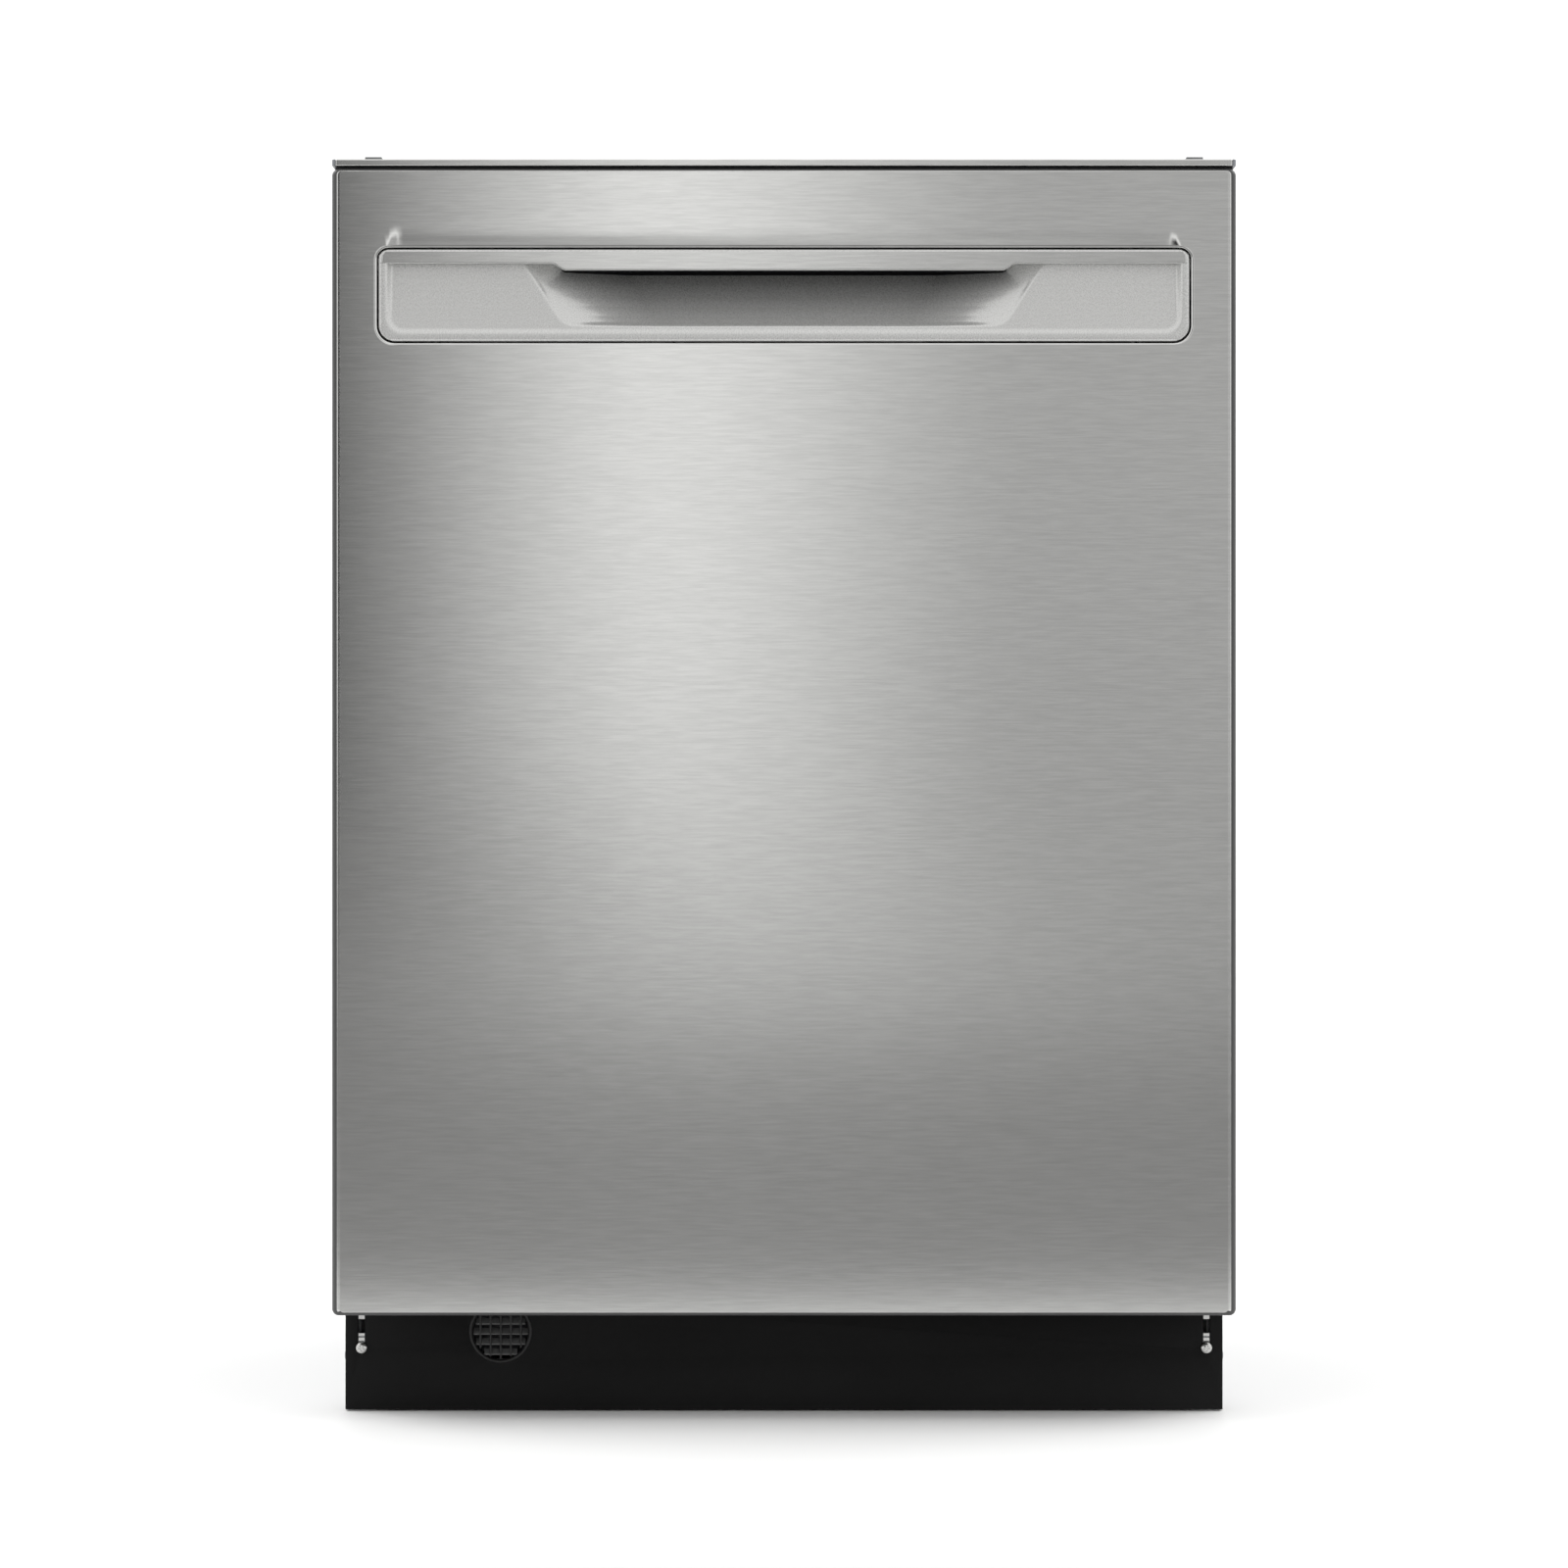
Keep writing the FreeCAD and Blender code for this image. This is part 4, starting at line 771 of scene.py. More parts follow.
# ---- trim strip over the door ----
def top_trim():
    """Brushed cap strip with rounded front corners and a console window, its seal and its end caps."""
    y0, y1, z0, z1 = TRIM_LOW.y, TRIM_HIGH.y, TRIM_LOW.z, TRIM_HIGH.z
    window_front, window_back = y0 + 12.0, y1 - 9.0
    half = DOOR_HALF - CAP_WIDTH
    corner = TRIM_RADIUS - CAP_WIDTH

    def ring(pull):
        """Outer edge pulled in by the edge's rounding."""
        right = [(half - pull, y0 + corner + 0.5)]
        for t in np.linspace(0, QUARTER, 5):
            x, y = corner * math.cos(t), corner * math.sin(t)
            right.append((half - corner + x - pull, y0 + corner - y + pull))
        right.append((half - corner - 0.5, y0 + pull))
        left = [(-x, y) for x, y in reversed(right)]
        return [(half - pull, y1)] + right + left + [(-half + pull, y1)]

    window = [(WINDOW_HALF, window_back)] + [(WINDOW_HALF, window_front)] * 7
    window += [(-x, y) for x, y in reversed(window)]
    steps = [(window, z0), (ring(0.4), z0), (ring(0), z0 + 0.4), (ring(0), z0 + 0.5), (ring(0), z1 - 0.9),
             (ring(0), z1 - 0.8), (ring(0.25), z1 - 0.25), (ring(0.8), z1), (window, z1), (window, z0)]
    loops = [[(x, y, z) for x, y in edge] for edge, z in steps]
    piece("top_trim", bridge(loops), "console_trim", slot="strip_steel", sharp=30)
    seal = slab(-DOOR_HALF + 2, DOOR_HALF - 2, PANEL_FRONT + 6.3, PANEL_FRONT + 7.4, PANEL_HIGH.z - 0.8, z0)
    piece("trim_seal", seal, "console_trim", slot="gasket_rubber", replaces=False, edge=0.3)
    for side, label in zip(SIDES, ("left", "right")):
        inner, outer = side * (half + 0.05), side * DOOR_HALF
        front = [(outer - side * TRIM_RADIUS * (1 - math.cos(t)), y0 + TRIM_RADIUS * (1 - math.sin(t)))
                 for t in np.linspace(0, QUARTER, 7)]
        edge = [(inner, y1), (outer, y1)] + [p for p in front if abs(p[0]) > half] + [(inner, y0 + 1.2)]
        loops = [[(x, y, z) for x, y in edge] for z in (z0, z1)]
        piece("trim_cap_" + label, bridge(loops, caps=True), "console_trim", slot="grey_plastic",
              replaces=False, edge=0.5)


# ---- toe kick ----
def vent_reach(offset):
    """Half length of a bar that crosses the vent's hole at a distance from its middle."""
    return math.sqrt(VENT_HOLE ** 2 - min(abs(offset) + 1, 18) ** 2)


def toe_vent():
    """Round louvred vent: a rolled ring, tilted slats and thin uprights."""
    cx, _, cz = node_middle("toe_kick_vent_grille")
    ring = [(19.0, 6.0), (19.0, 1.2), (19.25, 0.1), (19.9, -0.55), (20.8, -0.6), (21.3, -0.2),
            (21.5, 0.2), (20.0, 0.6), (19.6, 6.0), (19.0, 6.0)]
    piece("vent_ring", turned(ring, (cx, TOE_FRONT, cz), "Y", 64), "toe_kick_vent_grille", slot="vent_rim")
    slats, uprights = [], []
    for step in range(-2, 3):
        offset = step * VENT_PITCH
        reach = vent_reach(offset)
        corners = [(x, TOE_FRONT + y, cz + offset + lift + thick) for y, lift in ((0.9, -2.2), (4.2, 1.4))
                   for thick in (0, 0.8) for x in (cx - reach, cx + reach)]
        slats.append((corners, slab(0, 1, 0, 1, 0, 1)[1]))
        x = cx + offset
        uprights.append(slab(x - 0.7, x + 0.7, TOE_FRONT + 0.7, TOE_FRONT + 4.6, cz - reach, cz + reach))
    for name, bars, slot in (("vent_slats", slats, None), ("vent_uprights", uprights, "vent_rim")):
        piece(name, merge(*bars), "toe_kick_vent_grille", slot=slot, replaces=False, edge=0.2)


def toe_screws():
    """Domed cross-head screws in the toe kick."""
    head_x = node_box("toe_kick_screws")[1].x - SCREW_HEAD
    z = node_middle("toe_kick_screws")[2]
    head = [(SCREW_HEAD, 0.0), (4.15, -0.6), (3.9, -1.3), (3.2, -2.0), (2.2, -2.45), (1.0, -2.6)]
    shank = [(2.0, 0.01), (2.0, 11.4), (1.2, 12.0)]
    shapes = []
    for side in SIDES:
        centre = (side * head_x, TOE_FRONT, z)
        shapes += [turned(head, centre, "Y", 32), turned(shank, centre, "Y", 16)]
    screws = piece("toe_screws", merge(*shapes), "toe_kick_screws")
    for x in (-head_x, head_x):
        for wide, tall in ((2.1, 0.65), (0.65, 2.1)):
            carve(screws, slab(x - wide, x + wide, TOE_FRONT - 3, TOE_FRONT - 1.0, z - tall, z + tall))


def rail_bolts():
    """Domed bolt on each side rail."""
    _, y, z = node_middle("side_bolts")
    root = node_box("base_frame")[1].x
    rise = node_box("side_bolts")[1].x - root
    dome = [(6.0, 0.0), (6.0, rise * 0.3), (5.4, rise * 0.62), (4.0, rise * 0.88), (2.0, rise)]
    bolts = [turned(mirrored(dome, side), (side * root, y, z), "X", 32) for side in SIDES]
    piece("rail_bolts", merge(*bolts), "side_bolts", slot="dull_zinc")


def slot_clips():
    """Bright spring clip behind each slot of the toe kick, over its screw."""
    x = node_box("toe_kick_screws")[1].x - SCREW_HEAD
    y, z = TOE_FRONT, node_middle("toe_kick_screws")[2]
    bars = []
    for side in SIDES:
        for z0, z1 in ((4.6, 7.2), (8.0, 10.2), (19.5, 24.0), (24.6, 28.5)):
            bars.append(slab(side * x - 2.2, side * x + 2.2, y + 0.2, y + 1.3, z + z0, z + z1))
    piece("slot_clips", merge(*bars), "base_frame", slot="bright_screw", replaces=False, edge=0.35)


# ---- door parts behind the skin ----
def door_liner():
    """Pressed inner skin: a pan with rolled edges and a raised middle with a beaded border."""
    low, high = node_box("door_liner")
    half, z0, z1 = high.x, low.z, high.z
    face_y = high.y - 10.0
    plateau_half, plateau_low, plateau_high = 258.0, 150.0, 812.0
    loops = []

    def add(half_width, bottom, top, radius, y):
        points, _ = outline(half_width, bottom, top, radius, radius)
        loops.append([(x, y, z) for x, z in points])

    for inset, y in ((0, low.y), (0, face_y - 3), (0.9, face_y - 0.9), (3, face_y)):
        add(half - inset, z0 + inset, z1 - inset, 4 + inset, y)
    for grow, y in ((6, 0), (4.2, 0.8), (1.8, 5.0), (0, 9.2), (-2, 10), (-16, 10), (-18, 9.4), (-20.5, 7.8),
                    (-23, 7.8), (-25.5, 9.4), (-27.5, 10)):
        add(plateau_half + grow, plateau_low - grow, plateau_high + grow, 30 + grow, face_y + y)
    liner = piece("liner_pressing", close_end(bridge(loops), len(loops[0])), "door_liner")
    thicken(liner, SHEET)
    bake(liner)
    cup_low, cup_high = node_box("dispenser_body")
    carve(liner, slab(cup_low.x + 7, cup_high.x - 7, face_y - 5, high.y + 5, cup_low.z + 7, cup_high.z - 7))
    x, _, z = node_middle("door_vent_grille")
    carve(liner, turned([(30, -15), (30, 15)], (x, high.y, z), "Y", 48))
    carve(liner, slab(-36, 36, low.y - 1, face_y + 5, 815, z1 + 1))


def pad(name, node, corner, across, up, depth, pins=PINS, inset=2.5, replaces=False):
    """A crowned mat from a corner and its three sides in millimetres.

    Its edges pull in between its corners, and it is held down at the pins.
    """
    corner, across, up, depth = Vector(corner), Vector(across), Vector(up), Vector(depth)
    wide, tall = across.length, up.length
    columns, rows = max(12, int(wide / MAT_CELL)), max(12, int(tall / MAT_CELL))
    loops_front, loops_back = [], []
    for j in range(rows + 1):
        front, back = [], []
        for i in range(columns + 1):
            s, t = i / columns, j / rows
            pull_s = inset * math.sin(math.pi * t) * (1 - 2 * s)
            pull_t = inset * math.sin(math.pi * s) * (1 - 2 * t)
            place = corner + across * (s + pull_s / wide) + up * (t + pull_t / tall)
            edge = min(s * wide, (1 - s) * wide, t * tall, (1 - t) * tall)
            crown = 1 - math.exp(-edge / MAT_EDGE)
            gaps = [((s - a) * wide) ** 2 + ((t - b) * tall) ** 2 for a, b in pins]
            dent = sum(math.exp(-gap / MAT_DENT) for gap in gaps)
            ripple = noise.noise(place * 0.028) * 0.5 + noise.noise(place * 0.11) * 0.25
            height = 0.14 + crown * (0.68 - 0.5 * min(dent, 1) + 0.2 * ripple)
            front.append(place + depth * min(height, 1))
            back.append(place + depth * (0.02 + 0.06 * (1 - crown)))
        loops_front.append(front)
        loops_back.append(back)
    points, faces = merge(bridge(loops_front, closed=False), bridge(loops_back, closed=False))
    count, offset = columns + 1, (rows + 1) * (columns + 1)
    rim = list(range(count)) + [j * count + columns for j in range(1, rows + 1)]
    rim += [rows * count + i for i in range(columns - 1, -1, -1)]
    rim += [j * count for j in range(rows - 1, 0, -1)]
    for a, b in zip(rim, rim[1:] + rim[:1]):
        faces.append((a, b, b + offset, a + offset))
    piece(name, (points, faces), node, replaces=replaces, sharp=60)


def sound_mats():
    """Sound blanket: four mats round the tub, each held by washers, and one behind the toe kick."""
    low, high = node_box("sound_blanket")
    tub_high = node_box("wash_tub")[1]
    front, back, top = low.y, 290.0, tub_high.z
    skin, lowest, height = 287.8, low.z, top - 2 - low.z
    roof_front, roof, rear = front + 19, top + 0.3, tub_high.y + 0.3
    along, upward, thick = (0, back - front, 0), (0, 0, height), high.x - skin
    roof_along, roof_thick = (0, back - roof_front, 0), (0, 0, high.z - roof)
    mats = [
        ("left", "X", -2.2, (-skin, front, lowest), along, upward, (-thick, 0, 0)),
        ("right", "X", 2.2, (skin, front, lowest), along, upward, (thick, 0, 0)),
        ("top", "Z", 2.3, (-286, roof_front, roof), (572, 0, 0), roof_along, roof_thick),
        ("back", "Y", 2.4, (-280, rear, 160), (560, 0, 0), (0, 0, 666), (0, high.y - rear, 0)),
    ]
    washers = []
    for label, axis, lift, corner, across, up, depth in mats:
        pad("blanket_" + label, "sound_blanket", corner, across, up, depth, replaces=label == "left")
        for s, t in PINS:
            centre = [c + s * a + t * u for c, a, u in zip(corner, across, up)]
            centre["XYZ".index(axis)] += lift
            washers.append(turned(mirrored(WASHER, math.copysign(1, lift)), centre, axis, 24))
    piece("blanket_washers", merge(*washers), "sound_blanket", slot="galvanised_steel", replaces=False)
    pad("toe_pad", "sound_blanket", (-256, TOE_FRONT + 16.5, 36), (512, 0, 0), (0, 0, 58), (0, -5, 0),
        [(0.1, 0.5), (0.9, 0.5)], inset=1.0, replaces=True)


def door_filling():
    """Fibre pad between the door's outer skin and its liner."""
    low, high = node_box("door_insulation")
    size = high - low
    pad("door_filling", "door_insulation", (low.x, high.y, low.z), (size.x, 0, 0), (0, 0, size.z),
        (0, -size.y, 0), replaces=True)


# ---- tub ----
def section(corners, radii):
    """A closed (x, z) outline, mirrored in X, from the corners of its right half, each rounded."""
    path = [Vector((x, 0, z)) for x, z in corners]
    half = [path[0]]
    for before, corner, after, radius in zip(path, path[1:], path[2:], radii):
        half += rounded([before, corner, after], radius)[1:-1]
    right = [(p.x, p.z) for p in half + [path[-1]]]
    return right + [(-x, z) for x, z in reversed(right[1:-1])]


def wash_tub():
    """Drawn stainless tub with rounded corners, rolling ledges and a beaded back, open at the front."""
    low, high = node_box("tub_front_flange")
    tub_low, tub_high = node_box("wash_tub")
    front, back = tub_low.y, tub_high.y - 1.5
    floor, ceiling = tub_low.z + 1.5, tub_high.z - 1.5
    half, floor_half, step_half, ledge, bend = 286, 243, 250, 123.0, 16
    corners = [(0, floor), (floor_half, floor), (step_half, ledge), (half, ledge), (half, ceiling)]
    shape = section(corners + [(0, ceiling)], (5, 5, 7, 20))
    middle_z = (floor + ceiling) / 2

    def scaled(inset, y):
        return [(x * (1 - inset / half), y, middle_z + (z - middle_z) * (1 - inset / 360)) for x, z in shape]

    def rim(x, z):
        rise = (high.z - middle_z) if z > middle_z else (middle_z - low.z)
        grow = min(high.x / max(abs(x), 1e-6), rise / max(abs(z - middle_z), 1e-6))
        return x * grow, middle_z + (z - middle_z) * grow

    outer = [rim(x, z) for x, z in shape]
    loops = [[(x, front + 6, z) for x, z in outer], [(x, front - 0.6, z) for x, z in outer],
             [(x * 0.997, front - 1.5, middle_z + (z - middle_z) * 0.998) for x, z in outer],
             scaled(-1.5, front - 1.5), scaled(-0.4, front - 0.8), scaled(0, front + 1.5)]
    start, stop = front + 1.5, back - bend
    loops += [scaled(0, start + (stop - start) * i / 6) for i in range(1, 7)]
    for angle in np.linspace(0.2, QUARTER, 6):
        loops.append(scaled(bend * (1 - math.cos(angle)), stop + bend * math.sin(angle)))
    loops += [scaled(inset, back + lift) for inset, lift in ((40, 0), (44, -2.5), (50, -2.5), (54, 0))]
    tub = piece("tub_pressing", close_end(bridge(loops), len(shape)), "wash_tub")
    thicken(tub, 1.0)
    bake(tub)
    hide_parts("tub_front_flange")
    x, y, _ = node_middle("sump")
    carve(tub, turned([(92.5, -30), (92.5, 12)], (x, y, floor), "Z", 72))


def gasket():
    """Ribbed rubber seal round the tub's mouth, in two runs that leave the strike free."""
    low, high = node_box("tub_gasket")
    x, top = high.x - 4.25, high.z - 4.3
    right = [(0.9, 0.95), (1.6, 0.55), (2.6, 0.55), (3.4, 1.0), (4.2, 0.75), (4.2, 0.15)]
    ribs = [(-w, h) for w, h in reversed(right)] + [(0.0, 1.0)] + right
    shapes = []
    for side in SIDES:
        path = rounded([(side * x, 0, low.z), (side * x, 0, top), (side * 17, 0, top)], 14, 8)
        loops = []
        for i, here in enumerate(path):
            ahead = (path[min(i + 1, len(path) - 1)] - path[max(i - 1, 0)]).normalized()
            out = Vector((ahead.z, 0, -ahead.x))
            loops.append([(here.x + out.x * w, high.y - (high.y - low.y) * h, here.z + out.z * w)
                          for w, h in ribs])
        shapes.append(bridge(loops, caps=True))
    piece("door_gasket", merge(*shapes), "tub_gasket")


# ---- water parts ----
def wash_pump():
    """Finned motor with its volute and inlet."""
    low, high = node_box("wash_pump")
    body = [(20, 19), (36, 20), (38, 24), (38, 44), (36.5, 47), (34, 48)]
    for i in range(12):
        x = 52 + i * 5.6
        body += [(34, x), (34, x + 2.4), (32.2, x + 3.0), (32.2, x + 5.0)]
    body = [(r, low.x + x) for r, x in body]
    body += [(34, high.x - 10), (32.5, high.x - 7), (20, high.x - 7), (20, high.x - 1.5), (18.5, high.x)]
    inlet = [(r, low.x + x) for r, x in ((10, 3), (10, 12), (11.2, 12.6), (11.2, 16), (10, 16.6), (10, 40))]
    shapes = [turned(body, (0, 60.0, 66.0), "X", 56), turned(inlet, (0, 40, 84), "X", 32)]
    piece("pump_motor", merge(*shapes), "wash_pump", edge=0.4)


def drain_pump():
    """Drain pump with a corrugated hose and a barbed spigot."""
    back = node_box("drain_pump")[1].y
    head = [(16, -96), (21, -97), (22, -100), (22, -124), (20, -125), (20, -146), (17, -149.5), (6, -150)]
    start, stop, pitch = 42.0, back - 36.0, 5.0
    hose = [(11, 30)]
    for i in range(int((stop - start) / pitch)):
        y = start + i * pitch
        hose += [(9.6, y), (9.6, y + 1.6), (11, y + 2.4), (11, y + 4.2)]
    hose += [(9.0, stop), (9.0, stop + 4)]
    spigot = [(7.5, back - 34), (9.5, back - 33), (9.5, back - 24)]
    for i in range(3):
        y = back - 22 + i * 7
        spigot += [(8.6, y), (9.5, y + 0.8), (8.6, y + 6)]
    spigot += [(8.2, back), (6.2, back), (6.2, back - 20)]
    shapes = [turned(head, (0, 30, 62), "X", 40), turned(hose, (-140, 0, 78), "Y", 28),
              turned(spigot, (-140, 0, 78), "Y", 32)]
    piece("drain_pump_hose", merge(*shapes), "drain_pump")


def levelling_legs():
    """Threaded foot with a hexagon collar."""
    foot = [(13.6, 0), (15, 0.9), (15, 3.4), (13.4, 5), (8.4, 5.6), (7, 6.5)]
    collar = [(8.0, 6.0), (8.6, 6.6), (8.6, 11.4), (8.0, 12)]
    for name in sorted(n for n in BODY_OF if n.endswith("_leg")):
        low, high = node_box(name)
        x, y, _ = node_middle(name)
        thread = []
        for turn in range(int((high.z - low.z - 12) / 1.5)):
            z = 12 + turn * 1.5
            thread += [(4.3, z), (5.0, z + 0.6), (5.0, z + 0.9)]
        thread.append((4.0, high.z - low.z))
        shapes = [turned(profile, (x, y, low.z), "Z", steps)
                  for profile, steps in ((foot, 40), (collar, 6), (thread, 24))]
        piece(name.replace("_leg", "_foot"), merge(*shapes), name)


def strainer():
    """Filter cup with a pierced wall and a twist bar."""
    low, high = node_box("filter_cup")
    x, y, _ = node_middle("filter_cup")
    rim = high.z - 6.0 - low.z
    wall = [(29.4, 3.2), (29.4, rim - 1), (30.2, rim), (31.4, rim), (32, rim - 1), (32, rim - 4)]
    wall.append((31.2, rim - 5))
    for i in range(int((rim - 9) / 2.4)):
        z = rim - 6 - i * 2.4
        wall += [(31.9, z), (31.9, z - 1.2), (31.1, z - 1.4), (31.1, z - 2.2)]
    wall += [(31.9, 0.8), (31.2, 0), (2, 0), (2, 3.2), (29.4, 3.2)]
    grip = slab(x - 30, x + 30, y - 3, y + 3, low.z + rim - 10, high.z)
    piece("strainer", merge(turned(wall, (x, y, low.z), "Z", 64), grip), "filter_cup", edge=0.6)


def float_dome():
    """Ribbed dome of the float over its stem."""
    low, high = node_box("float")
    x, y, _ = node_middle("float")
    base, shoulder = high.z - 31.5, high.z - 8
    dome = [(4, low.z), (4, base), (15, base), (16, base + 1), (16, shoulder)]
    dome += [(16 - 7 * (1 - math.cos(a)), shoulder + 8 * math.sin(a)) for a in np.linspace(0.3, QUARTER, 6)]
    dome.append((3, high.z))
    rib = slab(x - 1, x + 1, y - 15.4, y + 15.4, base + 2, high.z - 3)
    piece("float_dome", merge(turned(dome, (x, y, 0), "Z", 48), rib), "float")


def spray_arm(node):
    """Moulded arm, waisted and domed, with a ribbed hub and a raised jet round each nozzle."""
    low, high = node_box(node)
    y = node_middle(node)[1]
    reach, z0, z1, tip = high.x, low.z, high.z, 15
    right = [(0.3, 1), (0.72, 0.88), (0.94, 0.62), (1, 0.35), (0.9, 0.05), (0.5, 0)]
    across = [(-1, 0.35), (-0.94, 0.62), (-0.72, 0.88), (-0.3, 1)] + right + [(-0.5, 0), (-0.9, 0.05)]
    loops = []
    for x in np.concatenate([[-1, -0.985, -0.96], np.linspace(-0.92, 0.92, 47), [0.96, 0.985, 1]]) * reach:
        end = max(0.0, abs(x) - reach + tip)
        half = math.sqrt(max(tip ** 2 - end ** 2, 4)) * (0.86 if not end else 0.86 + 0.14 * end / tip)
        half += 11 * math.exp(-(x / 34) ** 2)
        top = z1 - 3.2 + 3.0 * math.exp(-(x / 70) ** 2) - 0.08 * end
        loops.append([(x, y + half * c, z0 + 0.8 + (top - z0 - 0.8) * h) for c, h in across])
    shapes = [bridge(loops, caps=True)]
    jet = [(3.4, -4.6), (3.2, -2.2), (2.6, -1.6), (1.9, -1.6), (1.5, -2.6), (0.3, -2.7)]
    for x in (-190, -150, -110, -70, 70, 110, 150, 190):
        shapes += [turned(jet, (x, y + side * 6, z1), "Z", 16) for side in SIDES]
    hub = [(25, z0 + 1), (26, z0 + 2), (26, z1 - 5), (23, z1 - 1.4), (19, z1), (10, z1), (8.1, z1 - 0.6),
           (8.1, z0 + 1), (25, z0 + 1)]
    shapes.append(turned(hub, (0, y, 0), "Z", 48))
    piece(node + "_moulding", merge(*shapes), node)


def heating_loop():
    """Heating rod bent into an open ring, with a gland at each end."""
    low, high = node_box("heating_element")
    radius, z = 180.0, high.z - 3.5
    centre = Vector((0, 20, z))
    path = [centre + Vector((radius * math.cos(a), radius * math.sin(a), 0))
            for a in np.radians(np.linspace(0, 290, 90))]
    gland = [(6, low.z), (6, low.z + 3), (5, low.z + 4), (4.4, z - 1), (3.4, z + 1)]
    wires("heater_loop", [path], 3.5, "heating_element", sides=4)
    glands = [turned(gland, (end.x, end.y, 0), "Z", 24) for end in (path[0], path[-1])]
    piece("heater_glands", merge(*glands), "heating_element", slot="grey_plastic", replaces=False)


# ---- hinges ----
def balance_springs():
    """Close-wound coil with a drawn-out hook at each end."""
    start, stop, z, radius, turns, steps = -150.0, 40.0, 60.0, 6.4, 62, 14
    for side, label in zip(SIDES, ("left", "right")):
        x = side * 283.0
        helix = []
        for i in range(turns * steps + 1):
            angle = 2 * math.pi * i / steps
            y = start + (stop - start) * i / (turns * steps)
            helix.append(Vector((x + radius * math.cos(angle), y, z + radius * math.sin(angle))))
        lead = rounded([(x, -215, 76), (x, -158, 61.5), (x + radius, start, z)], 8)
        tail = rounded([(x + radius, stop, z), (x, 48, z), (x, 70, z)], 8)
        wires("spring_" + label, [lead[:-1] + helix + tail[1:]], 1.45, "hinge_springs",
              replaces=side < 0, sides=1)


# ---- racks ----
def evenly(low, high, count):
    """Evenly spaced places from low to high."""
    return [low + (high - low) * i / (count - 1) for i in range(count)]


def rack(node, floor, rims, tine_xs, tine_rows, tine_top):
    """Coated-wire basket: bent wires both ways, rims all round, and rows of tines."""
    low, high = node_box(node)
    wire, tine_wire, bend, corner = 2.25, 1.75, 11, 14
    half, y0, y1 = 252.0, low.y + wire, high.y - wire
    inner = half - 3 * wire
    front, back, lift, top = y0 + 2 * wire, y1 - 2 * wire, floor + 2 * wire, rims[-1] - 0.4
    rows = evenly(y0 + 4 * wire, y1 - 4 * wire, 11)
    paths = [rounded([(x, front, top), (x, front, floor), (x, back, floor), (x, back, top)], bend)
             for x in evenly(-inner, inner, 9)[1:-1]]
    paths += [[(x, front, floor), (x, back, floor)] for x in (-inner, inner)]
    paths += [rounded([(-inner, y, top), (-inner, y, lift), (inner, y, lift), (inner, y, top)], bend)
              for y in rows]
    rings = [ring_path(half, y0, y1, z, corner) for z in rims]
    wires(node + "_wires", paths, wire, node, rings=rings)
    tines = [[(x, y, floor + 3 * wire), (x, y, tine_top)] for x in tine_xs for y in rows[tine_rows]]
    wires(node + "_tines", tines, tine_wire, node, replaces=False)


def carriers(rack_name, names, ys, half, z0, z1, axle, axle_z, steps, slot=None):
    """Plates on both sides of a rack, with an axle or a roller on each."""
    plates, shafts = [], []
    for y in ys:
        for side in SIDES:
            plates.append(slab(side * 250.5, side * 253.5, y - half, y + half, z0, z1))
            shafts.append(turned(mirrored(axle, side), (0, y, axle_z), "X", steps))
    plates = piece(names[0], merge(*plates), rack_name, replaces=False)
    soften(plates, 1.2, 3)
    piece(names[1], merge(*shafts), rack_name, slot=slot, replaces=False)


def wheel_hangers():
    """Hangers and axles for the lower rack's wheels, and carriers with rollers on the upper rack."""
    axle = [(4.6, 253.5), (4.6, 260), (3, 260.5), (3, 272.5), (4.2, 272.6), (4.2, 274.2), (3.2, 275)]
    carriers("lower_rack", ("lower_hangers", "lower_axles"), ys=(-110, 170), half=16, z0=136, z1=233.7,
             axle=axle, axle_z=142.3, steps=24)
    roller = [(4.5, 253.5), (3.4, 256), (3.4, 268.5), (7, 269), (8, 270), (8, 275), (7, 276), (3, 276)]
    carriers("upper_rack", ("upper_carriers", "upper_rollers"), ys=(70, 215), half=18, z0=528.3, z1=597.7,
             axle=roller, axle_z=565, steps=32, slot="white_plastic")


def rack_wheels():
    """Spoked wheel with a rounded tread, turning about X."""
    tread = [(15.2, -4.2), (16.4, -4.9), (18.0, -4.6), (18.8, -3), (19, 0)]
    tread += [(r, -x) for r, x in reversed(tread[:-1])] + [(15.2, -4.2)]
    hub = [(3.1, -5), (5.6, -5), (6.4, -4.2), (6.4, 4.2), (5.6, 5), (3.1, 5), (3.1, -5)]
    web = [(6.0, -1.2), (15.6, -1.2), (15.6, 1.2), (6.0, 1.2), (6.0, -1.2)]
    for name in sorted(n for n in BODY_OF if n.endswith("_wheel")):
        cx, cy, cz = centre = node_middle(name)
        shapes = [turned(tread, centre, "X", 56), turned(hub, centre, "X", 32), turned(web, centre, "X", 56)]
        for spoke in range(6):
            turn, rise = math.cos(math.pi / 3 * spoke), math.sin(math.pi / 3 * spoke)
            points, faces = slab(-3.2, 3.2, -1.3, 1.3, 6, 15.6)
            points = [(cx + x, cy + y * turn - z * rise, cz + y * rise + z * turn) for x, y, z in points]
            shapes.append((points, faces))
        piece(name + "_moulding", merge(*shapes), name, edge=0.3)


def lattice(corner, across, up, cell=8.0):
    """A flat grid of cells, to be turned into bars."""
    corner, across, up = Vector(corner), Vector(across), Vector(up)
    columns, rows = max(1, round(across.length / cell)), max(1, round(up.length / cell))
    loops = [[tuple(corner + across * (i / columns) + up * (j / rows)) for i in range(columns + 1)]
             for j in range(rows + 1)]
    return bridge(loops, closed=False)


